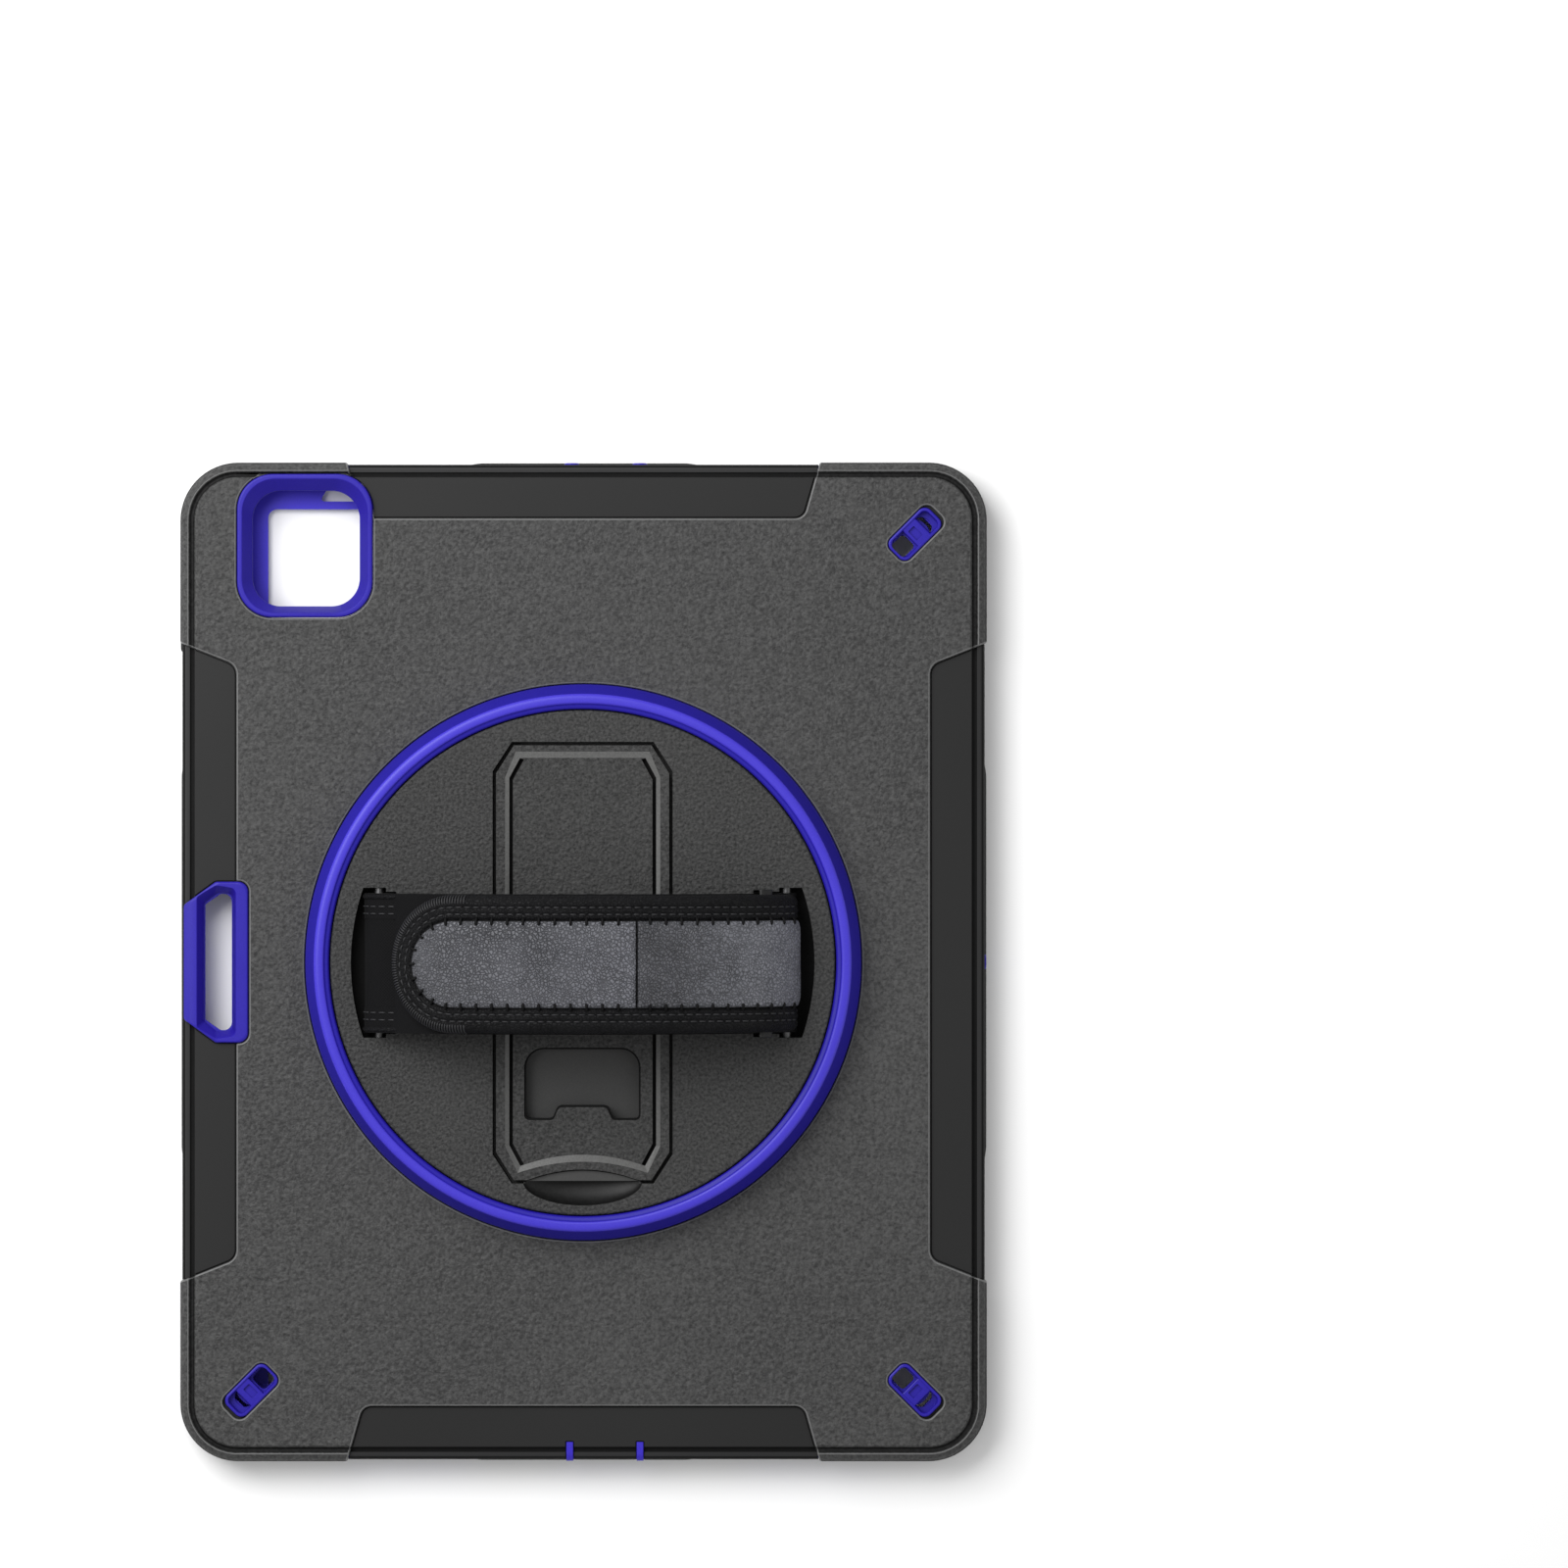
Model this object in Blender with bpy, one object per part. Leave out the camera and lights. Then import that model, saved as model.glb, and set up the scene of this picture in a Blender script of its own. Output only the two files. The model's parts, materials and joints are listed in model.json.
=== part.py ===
"""Rugged case for a 12.9 inch tablet, with a turntable, kickstand, hand strap and stylus bay.

The case lies face down. X is across it, Y is along it (+Y is the top edge), and +Z points out of
its back. The origin is the middle of the front lip's plane. Lengths below are millimetres.
"""

import math

import bmesh
import bpy
from mathutils import Matrix, Vector

MM = 0.001
GAP = 0.3  # between touching pieces

# Outline of the closed case
HALF_X, HALF_Y, CORNER_R = 118.3, 146.5, 17.0
CORNER_STEPS = 6

# Levels up through the case
Z_FRAME_LOW, Z_FRAME_TOP = 0.5, 2.8
Z_INNER_LOW, Z_INNER_CEIL, Z_INNER_TOP = 3.1, 9.1, 10.4
Z_SKIN_LOW, Z_SKIN_TOP, Z_PANEL_TOP, GROOVE_FLOOR = 10.7, 11.9, 12.6, 11.3
Z_SHELL_LOW, Z_BACK = 12.2, 13.8
Z_RIM = 22.3  # top of the guide ring
Z_DISC_LOW, Z_FLANGE_TOP, Z_DISC_TOP = 14.1, 17.0, 21.2

# Tablet pocket, display window and stylus bay
POCKET = (-101.0, 114.35, -140.6, 140.6)
POCKET_R = 12.0
WINDOW = (-92.9, 106.1, -133.0, 133.0)
WINDOW_R = 2.6
MIDDLE_X = 6.5  # the tablet's own centre line
BAY = (-112.8, -103.0, -87.5, 87.5)
BAY_MOUTH = (-112.9, -100.5, -87.5, 87.5)

# Rear cut-outs, as (half length at the edge, half length inside, inner edge)
SIDE_CUT_EDGE, SIDE_CUT_IN, SIDE_CUT_X = 93.6, 87.0, 101.6
END_CUT_EDGE, END_CUT_IN, END_CUT_Y = 69.3, 64.6, 130.0

# Guide ring and turntable
RING_OUT, RING_RIM_OUT, RING_RIM_IN, RING_IN, RING_TRAP = 81.4, 77.9, 75.7, 74.1, 76.6
RING_STEPS = 64
DISC_R, FLANGE_R = 73.8, 76.2
SCREW_PCR, SCREWS = 78.8, 6

# Kickstand
LEG_X, LEG_Y = 26.3, 64.5
LEG_CUT_X, LEG_CUT_Y = 5.6, 8.6
LEG_LOW, LEG_TOP, LEG_FLOOR = 15.5, 20.9, 15.2
HINGE_Y, HINGE_Z, HINGE_R = -5.0, 18.2, 2.7
AXLE_R = 1.5

# Hand strap
PIN_X, PIN_Z, PIN_R = 59.5, 18.4, 1.5
ARCH_A, ARCH_Z, ARCH_H = 58.5, 19.5, 25.5
BAND_T, BAND_HALF, PAD_T, PAD_HALF = 1.8, 20.3, 4.4, 20.0
SLOT_ARC_R, SLOT_HALF, SLOT_IN = 67.7, 21.9, 54.5
KEEPER_X = 52.6

# Openings in the edges
PORT_Z = 6.3
SPEAKERS = ((-53.0, 1), (66.0, 1), (-53.0, -1), (66.0, -1))
SPEAKER_L, SPEAKER_H = 40.0, 3.8
MICS = ((16.5, 146.5, "Y"), (-3.5, 146.5, "Y"), (118.3, 0.0, "X"))
FLAP = (-2.4, 15.0)
FLAP_HINGE = (-145.1, 9.7)
RIBS = (-4.0, 16.6)
RIB_W = 1.9
POWER_X, BUTTON_L, BUTTON_H = -84.0, 13.0, 4.0
VOLUME_Y = (110.5, 97.0)

# Blue trims on the back
CAMERA = (-101.4, -61.7, 101.0, 143.0, 10.5)
CAMERA_HOLE = (-97.0, -65.6, 104.3, 138.2, 8.3)
STYLUS_TRIM = (-117.0, -98.1, -23.6, 23.6)
STYLUS_NECK = (-112.5, -101.5, -21.6, 21.6)
STYLUS_HOLE = (-110.9, -103.1, -20.0, 20.0)
ANCHORS = ((97.1, 125.4), (97.1, -125.4), (-97.2, -125.4))
ANCHOR_L, ANCHOR_W, ANCHOR_R = 16.5, 8.2, 2.4

for old in list(bpy.data.objects):
    bpy.data.objects.remove(old, do_unlink=True)


# ---------------------------------------------------------------- helpers
def material(name, rgb, roughness, metallic=0.0):
    mat = bpy.data.materials.new(name)
    mat.use_nodes = True
    shader = mat.node_tree.nodes["Principled BSDF"]
    shader.inputs["Base Color"].default_value = (*rgb, 1)
    shader.inputs["Roughness"].default_value = roughness
    shader.inputs["Metallic"].default_value = metallic
    mat.diffuse_color = (*rgb, 1)
    return mat


def rounded(points):
    """An outline of (x, y, radius, steps) corners, each corner replaced by its arc."""
    found = []
    for i, (x, y, r, steps) in enumerate(points):
        here = Vector((x, y))
        before = (Vector(points[i - 1][:2]) - here).normalized()
        after = (Vector(points[(i + 1) % len(points)][:2]) - here).normalized()
        if r <= 0:
            found.append((x, y))
            continue
        half = before.angle(after) / 2
        reach = r / math.tan(half)
        start, end = here + before * reach, here + after * reach
        centre = here + (before + after).normalized() * (r / math.sin(half))
        a, b = start - centre, end - centre
        turn = a.angle_signed(b)
        for k in range(steps + 1):
            c, s = math.cos(-turn * k / steps), math.sin(-turn * k / steps)
            found.append((centre.x + a.x * c - a.y * s, centre.y + a.x * s + a.y * c))
    return found


def rect(x0, x1, y0, y1, r=0.0, steps=5):
    return rounded([(x0, y0, r, steps), (x1, y0, r, steps), (x1, y1, r, steps), (x0, y1, r, steps)])


def outline(offset):
    """The case's outline, moved in by offset."""
    x, y, r = HALF_X - offset, HALF_Y - offset, max(CORNER_R - offset, 2.0)
    return rect(-x, x, -y, y, r, CORNER_STEPS)


def ellipse(cx, cy, a, b, steps):
    return [
        (cx + a * math.cos(math.tau * k / steps), cy + b * math.sin(math.tau * k / steps))
        for k in range(steps)
    ]


def moved(points, x, y, degrees=0.0):
    c, s = math.cos(math.radians(degrees)), math.sin(math.radians(degrees))
    return [(x + px * c - py * s, y + px * s + py * c) for px, py in points]


def solid(rings, closed=False):
    """A mesh through rings of 3-D points: capped at both ends, or joined into a loop."""
    bm = bmesh.new()
    rows = [[bm.verts.new(Vector(p)) for p in ring] for ring in rings]
    count = len(rows[0])
    pairs = list(zip(rows, rows[1:] + rows[:1])) if closed else list(zip(rows, rows[1:]))
    for low, high in pairs:
        for i in range(count):
            j = (i + 1) % count
            bm.faces.new((low[i], low[j], high[j], high[i]))
    if not closed:
        bm.faces.new(list(reversed(rows[0])))
        bm.faces.new(rows[-1])
    bmesh.ops.recalc_face_normals(bm, faces=bm.faces[:])
    return bm


def prism(points, low, high, axis="Z"):
    """An outline extruded between two levels. For X the outline is (y, z), and for Y it is (x, z)."""

    def at(p, level):
        return {"Z": (p[0], p[1], level), "X": (level, p[0], p[1]), "Y": (p[0], level, p[1])}[axis]

    return solid([[at(p, low) for p in points], [at(p, high) for p in points]])


def stack(levels):
    """A solid through (outline, z) levels whose outlines have as many points."""
    return solid([[(x, y, z) for x, y in points] for points, z in levels])


def block(x0, x1, y0, y1, z0, z1):
    return prism(rect(x0, x1, y0, y1), z0, z1)


def turned(profile, steps=RING_STEPS):
    """A closed (radius, z) profile turned about Z. All of its radii are above zero."""
    return solid(
        [
            [(r * math.cos(math.tau * k / steps), r * math.sin(math.tau * k / steps), z) for r, z in profile]
            for k in range(steps)
        ],
        closed=True,
    )


def drum(x, y, r, low, high, steps=24, axis="Z"):
    return prism(ellipse(x, y, r, r, steps), low, high, axis)


def make(name, bm, mat, origin=(0, 0, 0), parent=None):
    """An object from a mesh in case coordinates, with its own origin."""
    origin = Vector(origin)
    bmesh.ops.translate(bm, verts=bm.verts, vec=-origin)
    bmesh.ops.scale(bm, verts=bm.verts, vec=(MM, MM, MM))
    mesh = bpy.data.meshes.new(name)
    bm.to_mesh(mesh)
    bm.free()
    obj = bpy.data.objects.new(name, mesh)
    obj.location = origin * MM
    if parent is not None:
        obj.parent = parent
        obj.location = origin * MM - parent_place(parent)
    bpy.context.scene.collection.objects.link(obj)
    if mat is not None:
        mesh.materials.append(mat)
    return obj


def parent_place(obj):
    place = Vector((0, 0, 0))
    while obj is not None:
        place = place + obj.location
        obj = obj.parent
    return place


def empty(name, at, parent=None):
    obj = bpy.data.objects.new(name, None)
    obj.empty_display_size = 0.01
    obj.location = Vector(at) * MM
    if parent is not None:
        obj.parent = parent
        obj.location = Vector(at) * MM - parent_place(parent)
    bpy.context.scene.collection.objects.link(obj)
    return obj


def combine(obj, bm, operation):
    """A Boolean with a mesh in case coordinates, applied to the object."""
    tool = make("tool", bm, None)
    bpy.context.view_layer.update()
    step = obj.modifiers.new("step", "BOOLEAN")
    step.operation = operation
    step.solver = "EXACT"
    step.object = tool
    graph = bpy.context.evaluated_depsgraph_get()
    result = bpy.data.meshes.new_from_object(obj.evaluated_get(graph))
    obj.modifiers.clear()
    before, spent = obj.data, tool.data
    obj.data = result
    bpy.data.objects.remove(tool, do_unlink=True)
    bpy.data.meshes.remove(before)
    bpy.data.meshes.remove(spent)
    obj.data.name = obj.name
    return obj


def cut(obj, *meshes):
    for bm in meshes:
        combine(obj, bm, "DIFFERENCE")
    return obj


def join(obj, *meshes):
    for bm in meshes:
        combine(obj, bm, "UNION")
    return obj


def smooth(obj, degrees=32):
    obj.data.shade_smooth()
    obj.data.set_sharp_from_angle(angle=math.radians(degrees))
    return obj


# ---------------------------------------------------------------- materials
BLUE = (0.030, 0.019, 0.42)
BLUE_DARK = (0.024, 0.015, 0.33)
GREY = (0.082, 0.082, 0.082)
BLACK = (0.012, 0.012, 0.013)

mat_inner = material("blue_polycarbonate", BLUE, 0.42)
mat_front = material("blue_front_frame", BLUE, 0.45)
mat_ring = material("blue_ring", BLUE, 0.30)
mat_trim = material("blue_trim", BLUE_DARK, 0.38)
mat_skin = material("black_skin", BLACK, 0.50)
mat_shell = material("textured_shell", GREY, 0.62)
mat_disc = material("turntable_plastic", (0.058, 0.058, 0.058), 0.60)
mat_leg = material("kickstand_plastic", (0.060, 0.060, 0.060), 0.55)
mat_cover = material("cover_plastic", (0.060, 0.060, 0.060), 0.55)
mat_slide = material("slide_ring_plastic", (0.55, 0.55, 0.53), 0.40)
mat_steel = material("steel", (0.56, 0.57, 0.58), 0.28, 1.0)
mat_band = material("strap_webbing", (0.010, 0.010, 0.011), 0.85)
mat_pad = material("pad_leather", (0.095, 0.097, 0.110), 0.55)
mat_keeper = material("keeper_plastic", BLACK, 0.40)
mat_button = material("button_rubber", BLACK, 0.48)
mat_flap = material("flap_rubber", BLACK, 0.52)


# ---------------------------------------------------------------- shared shapes
def side_cut(sign, shrink=0.0, out=12.0):
    """A cut-out along a long side. shrink draws its edges in."""
    edge_x = HALF_X + out
    slope = (SIDE_CUT_EDGE - SIDE_CUT_IN) / (HALF_X - SIDE_CUT_X)
    edge_y = SIDE_CUT_EDGE + slope * out - shrink
    inner, half = SIDE_CUT_X + shrink, SIDE_CUT_IN - shrink
    points = rounded(
        [(edge_x, -edge_y, 0, 1), (edge_x, edge_y, 0, 1), (inner, half, 4.0, 4), (inner, -half, 4.0, 4)]
    )
    return [(sign * x, y) for x, y in points]


def end_cut(sign, shrink=0.0, out=12.0):
    """The same along a short side."""
    edge_y = HALF_Y + out
    slope = (END_CUT_EDGE - END_CUT_IN) / (HALF_Y - END_CUT_Y)
    edge_x = END_CUT_EDGE + slope * out - shrink
    inner, half = END_CUT_Y + shrink, END_CUT_IN - shrink
    points = rounded(
        [(-edge_x, edge_y, 0, 1), (edge_x, edge_y, 0, 1), (half, inner, 3.5, 4), (-half, inner, 3.5, 4)]
    )
    return [(x, sign * y) for x, y in points]


def cut_prisms(shrink, low, high):
    found = [prism(side_cut(s, shrink), low, high) for s in (1, -1)]
    return found + [prism(end_cut(s, shrink), low, high) for s in (1, -1)]


def camera_outline(grow):
    x0, x1, y0, y1, r = CAMERA
    return rect(x0 - grow, x1 + grow, y0 - grow, y1 + grow, r + grow, 5)


def stylus_outline(grow):
    """Long diagonal corners towards the edge of the case, rounded ones on the inside."""
    x0, x1, y0, y1 = STYLUS_TRIM
    x0, x1, y0, y1 = x0 - grow, x1 + grow, y0 - grow, y1 + grow
    return rounded(
        [
            (x0 + 9.4, y0, 1.0, 2),
            (x1, y0, 3.0, 4),
            (x1, y1, 3.0, 4),
            (x0 + 9.4, y1, 1.0, 2),
            (x0, y1 - 6.8, 1.0, 2),
            (x0, y0 + 6.8, 1.0, 2),
        ]
    )


def anchor_angle(x, y):
    return math.degrees(math.atan2(math.copysign(1, y), math.copysign(1, x)))


def anchor_outline(x, y, grow):
    half_l, half_w = ANCHOR_L / 2 + grow, ANCHOR_W / 2 + grow
    return moved(rect(-half_l, half_l, -half_w, half_w, ANCHOR_R + grow, 4), x, y, anchor_angle(x, y))


def anchor_hole(x, y, half):
    """The square hole at the slot's inner end."""
    return moved(rect(-5.1 - half, -5.1 + half, -half, half), x, y, anchor_angle(x, y))


def anchor_slit(x, y, half):
    """The curved slit on the other side of the bridge, as a straight one."""
    return moved(rect(4.3 - half, 4.3 + half, -2.0 - half, 2.0 + half), x, y, anchor_angle(x, y))


def octagon(grow, low_y=-LEG_Y, high_y=LEG_Y):
    """The kickstand's long eight-sided outline."""
    x, k = LEG_X + grow, grow * 0.41
    top, low = high_y + grow, low_y - grow
    points = []
    if low_y <= -LEG_Y + 1:
        points += [(-x, low + LEG_CUT_Y + k), (-x + LEG_CUT_X + k, low), (x - LEG_CUT_X - k, low), (x, low + LEG_CUT_Y + k)]
    else:
        points += [(-x, low_y), (x, low_y)]
    if high_y >= LEG_Y - 1:
        points += [(x, top - LEG_CUT_Y - k), (x - LEG_CUT_X - k, top), (-x + LEG_CUT_X + k, top), (-x, top - LEG_CUT_Y - k)]
    else:
        points += [(x, high_y), (-x, high_y)]
    return points


def slot_outline(sign, grow):
    """A strap slot: straight inside, an arc outside."""
    r, half, inner = SLOT_ARC_R + grow, SLOT_HALF + grow, SLOT_IN - grow
    end = math.asin(half / r)
    steps = 8
    arc = [(r * math.cos(-end + 2 * end * k / steps), r * math.sin(-end + 2 * end * k / steps)) for k in range(steps + 1)]
    return [(sign * x, y) for x, y in [(inner, half), (inner, -half), *arc]]


# ---------------------------------------------------------------- case
front_frame = make("front_frame", prism(outline(4.2), Z_FRAME_LOW, Z_FRAME_TOP), mat_front, (0, 0, Z_FRAME_TOP))


def window(grow):
    x0, x1, y0, y1 = WINDOW
    return rect(x0 - grow, x1 + grow, y0 - grow, y1 + grow, WINDOW_R + max(grow, 0), 4)


cut(
    front_frame,
    stack([(window(8.7), 0.2), (window(0.05), 1.6)]),
    prism(window(0), -1, 5),
    prism(rounded([(MIDDLE_X - 21, 131, 0, 1), (MIDDLE_X + 21, 131, 0, 1), (MIDDLE_X + 16.5, 141, 1.2, 3), (MIDDLE_X - 16.5, 141, 1.2, 3)]), -1, 5),
    prism(rect(*BAY_MOUTH, 2.9, 4), -1, 5),
)
for x, lean in ((83.3, -1.6), (-70.7, 1.6)):
    cut(front_frame, prism([(x - 5.5 - lean, 135.3), (x + 5.5 - lean, 135.3), (x + 5.5 + lean, 140.7), (x - 5.5 + lean, 140.7)], -1, 5))
smooth(front_frame)

inner_shell = make("inner_shell", prism(outline(2.7), Z_INNER_LOW, Z_INNER_TOP), mat_inner)
cut(inner_shell, prism(rect(*POCKET, POCKET_R, 6), 1, Z_INNER_CEIL), prism(rect(*BAY, 1.5, 3), 1, Z_INNER_CEIL))
rib_side = [(-142.5, 3.3), (-146.1, 3.3), (-146.1, 11.0), (-144.4, 12.5), (-140.6, 12.5), (-140.6, 10.0)]
for x in RIBS:
    join(inner_shell, prism(rib_side, x - RIB_W / 2, x + RIB_W / 2, "X"))
join(inner_shell, prism([(RIBS[0] - 0.9, 1.6 + 1.7), (RIBS[1] + 0.9, 3.3), (RIBS[1] + 0.9, 4.3), (RIBS[0] - 0.9, 4.3)], -146.1, -142.5, "Y"))
cut(
    inner_shell,
    prism(camera_outline(GAP), 5, 20),
    prism(rect(*[v + GAP * s for v, s in zip(STYLUS_NECK, (-1, 1, -1, 1))], 2.0, 3), 5, 20),
    block(1.1, 11.5, -150, -138, 4.7, 8.3),
)
for x, y in ANCHORS:
    cut(inner_shell, prism(anchor_hole(x, y, 2.9), 5, 20), prism(anchor_slit(x, y, 1.0), 5, 20))
for x, sign in SPEAKERS:
    cut(inner_shell, block(x - 18.5, x + 18.5, min(sign * 139, sign * 150), max(sign * 139, sign * 150), PORT_Z - 1.3, PORT_Z + 1.3))
for x, y, axis in MICS:
    hole = drum(x, PORT_Z, 1.0, 139, 150, 12, "Y") if axis == "Y" else drum(y, PORT_Z, 1.0, 112, 122, 12, "X")
    cut(inner_shell, hole)
cut(inner_shell, block(POWER_X - 5.4, POWER_X + 5.4, 139, 150, PORT_Z - 1.6, PORT_Z + 1.6))
for y in VOLUME_Y:
    cut(inner_shell, block(-120, -100, y - 4.4, y + 4.4, PORT_Z - 1.6, PORT_Z + 1.6))
screw_spots = [
    (SCREW_PCR * math.cos(math.tau * (k + 0.5) / SCREWS), SCREW_PCR * math.sin(math.tau * (k + 0.5) / SCREWS))
    for k in range(SCREWS)
]
for x, y in screw_spots:
    cut(inner_shell, drum(x, y, 1.25, 8, 12, 16), drum(x, y, 2.25, 8, 9.1 + 0.95, 16))
smooth(inner_shell)

# The skin's outside, from the front lip up to the back. It is drawn in a little between the bumps,
# has a long groove half way up, a bead and a second groove just inside the back edge.
skin_levels = [
    (2.0, 0.0), (1.05, 0.8), (0.65, 2.0), (0.65, 5.3), (1.5, 5.7), (1.5, 6.7), (0.65, 7.1),
    (0.65, 10.2), (0.95, 11.3), (1.45, Z_SKIN_TOP),
]
bumper_skin = make("bumper_skin", stack([(outline(o), z) for o, z in skin_levels]), mat_skin)
cut(bumper_skin, stack([(outline(o), z) for o, z in ((3.3, -1.0), (3.3, 0.0), (3.9, 0.8), (3.9, 1.6), (2.4, 2.5), (2.4, Z_SKIN_LOW))]))
bump = [(HALF_X - 2.0, -59), (HALF_X - 0.5, -59), (HALF_X, -57), (HALF_X, 57), (HALF_X - 0.5, 59), (HALF_X - 2.0, 59)]
end_bump = [(-35, HALF_Y - 2.0), (-35, HALF_Y - 0.5), (-33, HALF_Y), (33, HALF_Y), (35, HALF_Y - 0.5), (35, HALF_Y - 2.0)]
for sign in (1, -1):
    join(bumper_skin, prism([(sign * x, y) for x, y in bump], 2.2, 5.0))
    join(bumper_skin, prism([(x, sign * y) for x, y in end_bump], 2.2, 5.0))
# Raised panels that fill the shell's cut-outs, up to the groove along the edge
limit = outline(4.45)
for points in (side_cut(1, 0.4, 0), side_cut(-1, 0.4, 0), end_cut(1, 0.4, 0), end_cut(-1, 0.4, 0)):
    panel = make("panel", prism(points, 11.4, Z_PANEL_TOP), None)
    combine(panel, prism(limit, 0, 30), "INTERSECT")
    bm = bmesh.new()
    bm.from_mesh(panel.data)
    bmesh.ops.scale(bm, verts=bm.verts, vec=(1 / MM, 1 / MM, 1 / MM))
    spent = panel.data
    bpy.data.objects.remove(panel, do_unlink=True)
    bpy.data.meshes.remove(spent)
    join(bumper_skin, bm)
groove = solid(
    [[(x, y, z) for x, y in outline(o)] for o, z in ((2.9, 14.0), (2.9, GROOVE_FLOOR), (4.3, GROOVE_FLOOR), (4.3, 14.0))],
    closed=True,
)
cut(bumper_skin, groove)
# Room for the shell's corner wraps
wraps = make(
    "wraps",
    solid([[(x, y, z) for x, y in outline(o)] for o, z in ((-6, 2.7), (1.95, 2.7), (1.95, 14), (-6, 14))], closed=True),
    None,
)
cut(wraps, *cut_prisms(0.3, 0, 30))
wrap_room = bmesh.new()
wrap_room.from_mesh(wraps.data)
bmesh.ops.scale(wrap_room, verts=wrap_room.verts, vec=(1 / MM, 1 / MM, 1 / MM))
bpy.data.objects.remove(wraps, do_unlink=True)
cut(bumper_skin, wrap_room)
cut(
    bumper_skin,
    drum(0, 0, RING_OUT + GAP, 5, 20, RING_STEPS),
    prism(camera_outline(GAP), 5, 20),
    prism(rect(*[v + GAP * s for v, s in zip(STYLUS_NECK, (-1, 1, -1, 1))], 2.0, 3), 5, 20),
)
for x, y in ANCHORS:
    cut(bumper_skin, prism(anchor_outline(x, y, GAP), 5, 20))
for x, sign in SPEAKERS:
    cut(bumper_skin, block(x - 20.3, x + 20.3, min(sign * 143, sign * 150), max(sign * 143, sign * 150), PORT_Z - 2.2, PORT_Z + 2.2))
for x, y, axis in MICS:
    hole = drum(x, PORT_Z, 2.5, 143, 150, 16, "Y") if axis == "Y" else drum(y, PORT_Z, 2.5, 114, 122, 16, "X")
    cut(bumper_skin, hole)
cut(bumper_skin, block(POWER_X - 6.8, POWER_X + 6.8, 143, 150, PORT_Z - 2.3, PORT_Z + 2.3))
for y in VOLUME_Y:
    cut(bumper_skin, block(-122, -115, y - 6.3, y + 6.3, PORT_Z - 2.3, PORT_Z + 2.3))
# The port opening, between the two ribs, and the ribs' own slots
cut(
    bumper_skin,
    block(RIBS[0] - 1.25, RIBS[1] + 1.25, -150, -143, 2.9, 10.95),
    block(RIBS[0] - 1.25, RIBS[0] + 1.25, -150, -140.3, 9, 20),
    block(RIBS[1] - 1.25, RIBS[1] + 1.25, -150, -140.3, 9, 20),
)
smooth(bumper_skin)

shell_levels = [(1.1, 3.0), (0.2, 3.5), (0.0, 4.6), (0.0, 9.0), (0.4, 11.0), (1.3, 12.5), (2.5, 13.4), (3.9, Z_BACK)]
rear_shell = make("rear_shell", stack([(outline(o), z) for o, z in shell_levels]), mat_shell)
cut(rear_shell, prism(outline(1.65), 1, Z_SHELL_LOW), *cut_prisms(0.0, 0, 30))
cut(
    rear_shell,
    drum(0, 0, RING_OUT + GAP, 5, 20, RING_STEPS),
    prism(camera_outline(GAP), 5, 20),
    prism(stylus_outline(GAP), 5, 20),
)
for x, y in ANCHORS:
    cut(rear_shell, prism(anchor_outline(x, y, GAP), 5, 20))
cut(rear_shell, block(POWER_X - 6.8, POWER_X + 6.8, 143, 150, PORT_Z - 2.3, PORT_Z + 2.3))
for x, sign in SPEAKERS:
    cut(rear_shell, block(x - 20.3, x + 20.3, min(sign * 143, sign * 150), max(sign * 143, sign * 150), PORT_Z - 2.2, PORT_Z + 2.2))
for y in VOLUME_Y:
    cut(rear_shell, block(-122, -115, y - 6.3, y + 6.3, PORT_Z - 2.3, PORT_Z + 2.3))
smooth(rear_shell)

guide_ring = make(
    "guide_ring",
    turned(
        [
            (RING_TRAP, Z_SKIN_LOW), (RING_OUT, Z_SKIN_LOW), (RING_OUT, 14.4), (81.1, 15.4), (78.6, 21.4), (78.35, 22.0),
            (RING_RIM_OUT, Z_RIM), (RING_RIM_IN, Z_RIM), (74.7, 21.7), (RING_IN, 20.9), (RING_IN, Z_FLANGE_TOP + GAP),
            (RING_TRAP, Z_FLANGE_TOP + GAP),
        ]
    ),
    mat_ring,
)
for x, y in screw_spots:
    cut(guide_ring, drum(x, y, 1.25, 9, 15.8, 12))
smooth(guide_ring)

slide_ring = smooth(
    make("slide_ring", turned([(66.0, Z_SKIN_LOW), (75.6, Z_SKIN_LOW), (75.6, Z_BACK), (66.0, Z_BACK)], 48), mat_slide)
)

for k, (x, y) in enumerate(screw_spots, 1):
    screw = make("ring_screw_%d" % k, stack([(ellipse(0, 0, 1.9, 1.9, 12), 9.2), (ellipse(0, 0, 1.9, 1.9, 12), 9.75), (ellipse(0, 0, 0.95, 0.95, 12), 9.76), (ellipse(0, 0, 0.95, 0.95, 12), 15.4)]), mat_steel)
    cut(screw, block(-0.25, 0.25, -1.2, 1.2, 9.0, 9.5), block(-1.2, 1.2, -0.25, 0.25, 9.0, 9.5))
    screw.location = Vector((x, y, 0)) * MM
    smooth(screw)


def ring_trim(name, outer, inner, low, high, mat):
    return cut(make(name, prism(outer, low, high), mat), prism(inner, low - 1, high + 1))


camera_surround = make("camera_surround", stack([(camera_outline(0), 9.4), (camera_outline(0), 14.0), (camera_outline(-0.5), 14.4)]), mat_trim)
x0, x1, y0, y1, r = CAMERA_HOLE
cut(
    camera_surround,
    stack([(rect(x0, x1, y0, y1, r, 5), 8.0), (rect(x0, x1, y0, y1, r, 5), 10.8), (rect(x0 - 3.2, x1 + 2.7, y0 - 2.1, y1 + 3.6, r + 1.6, 5), 14.6)]),
)
smooth(camera_surround, 40)

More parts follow.
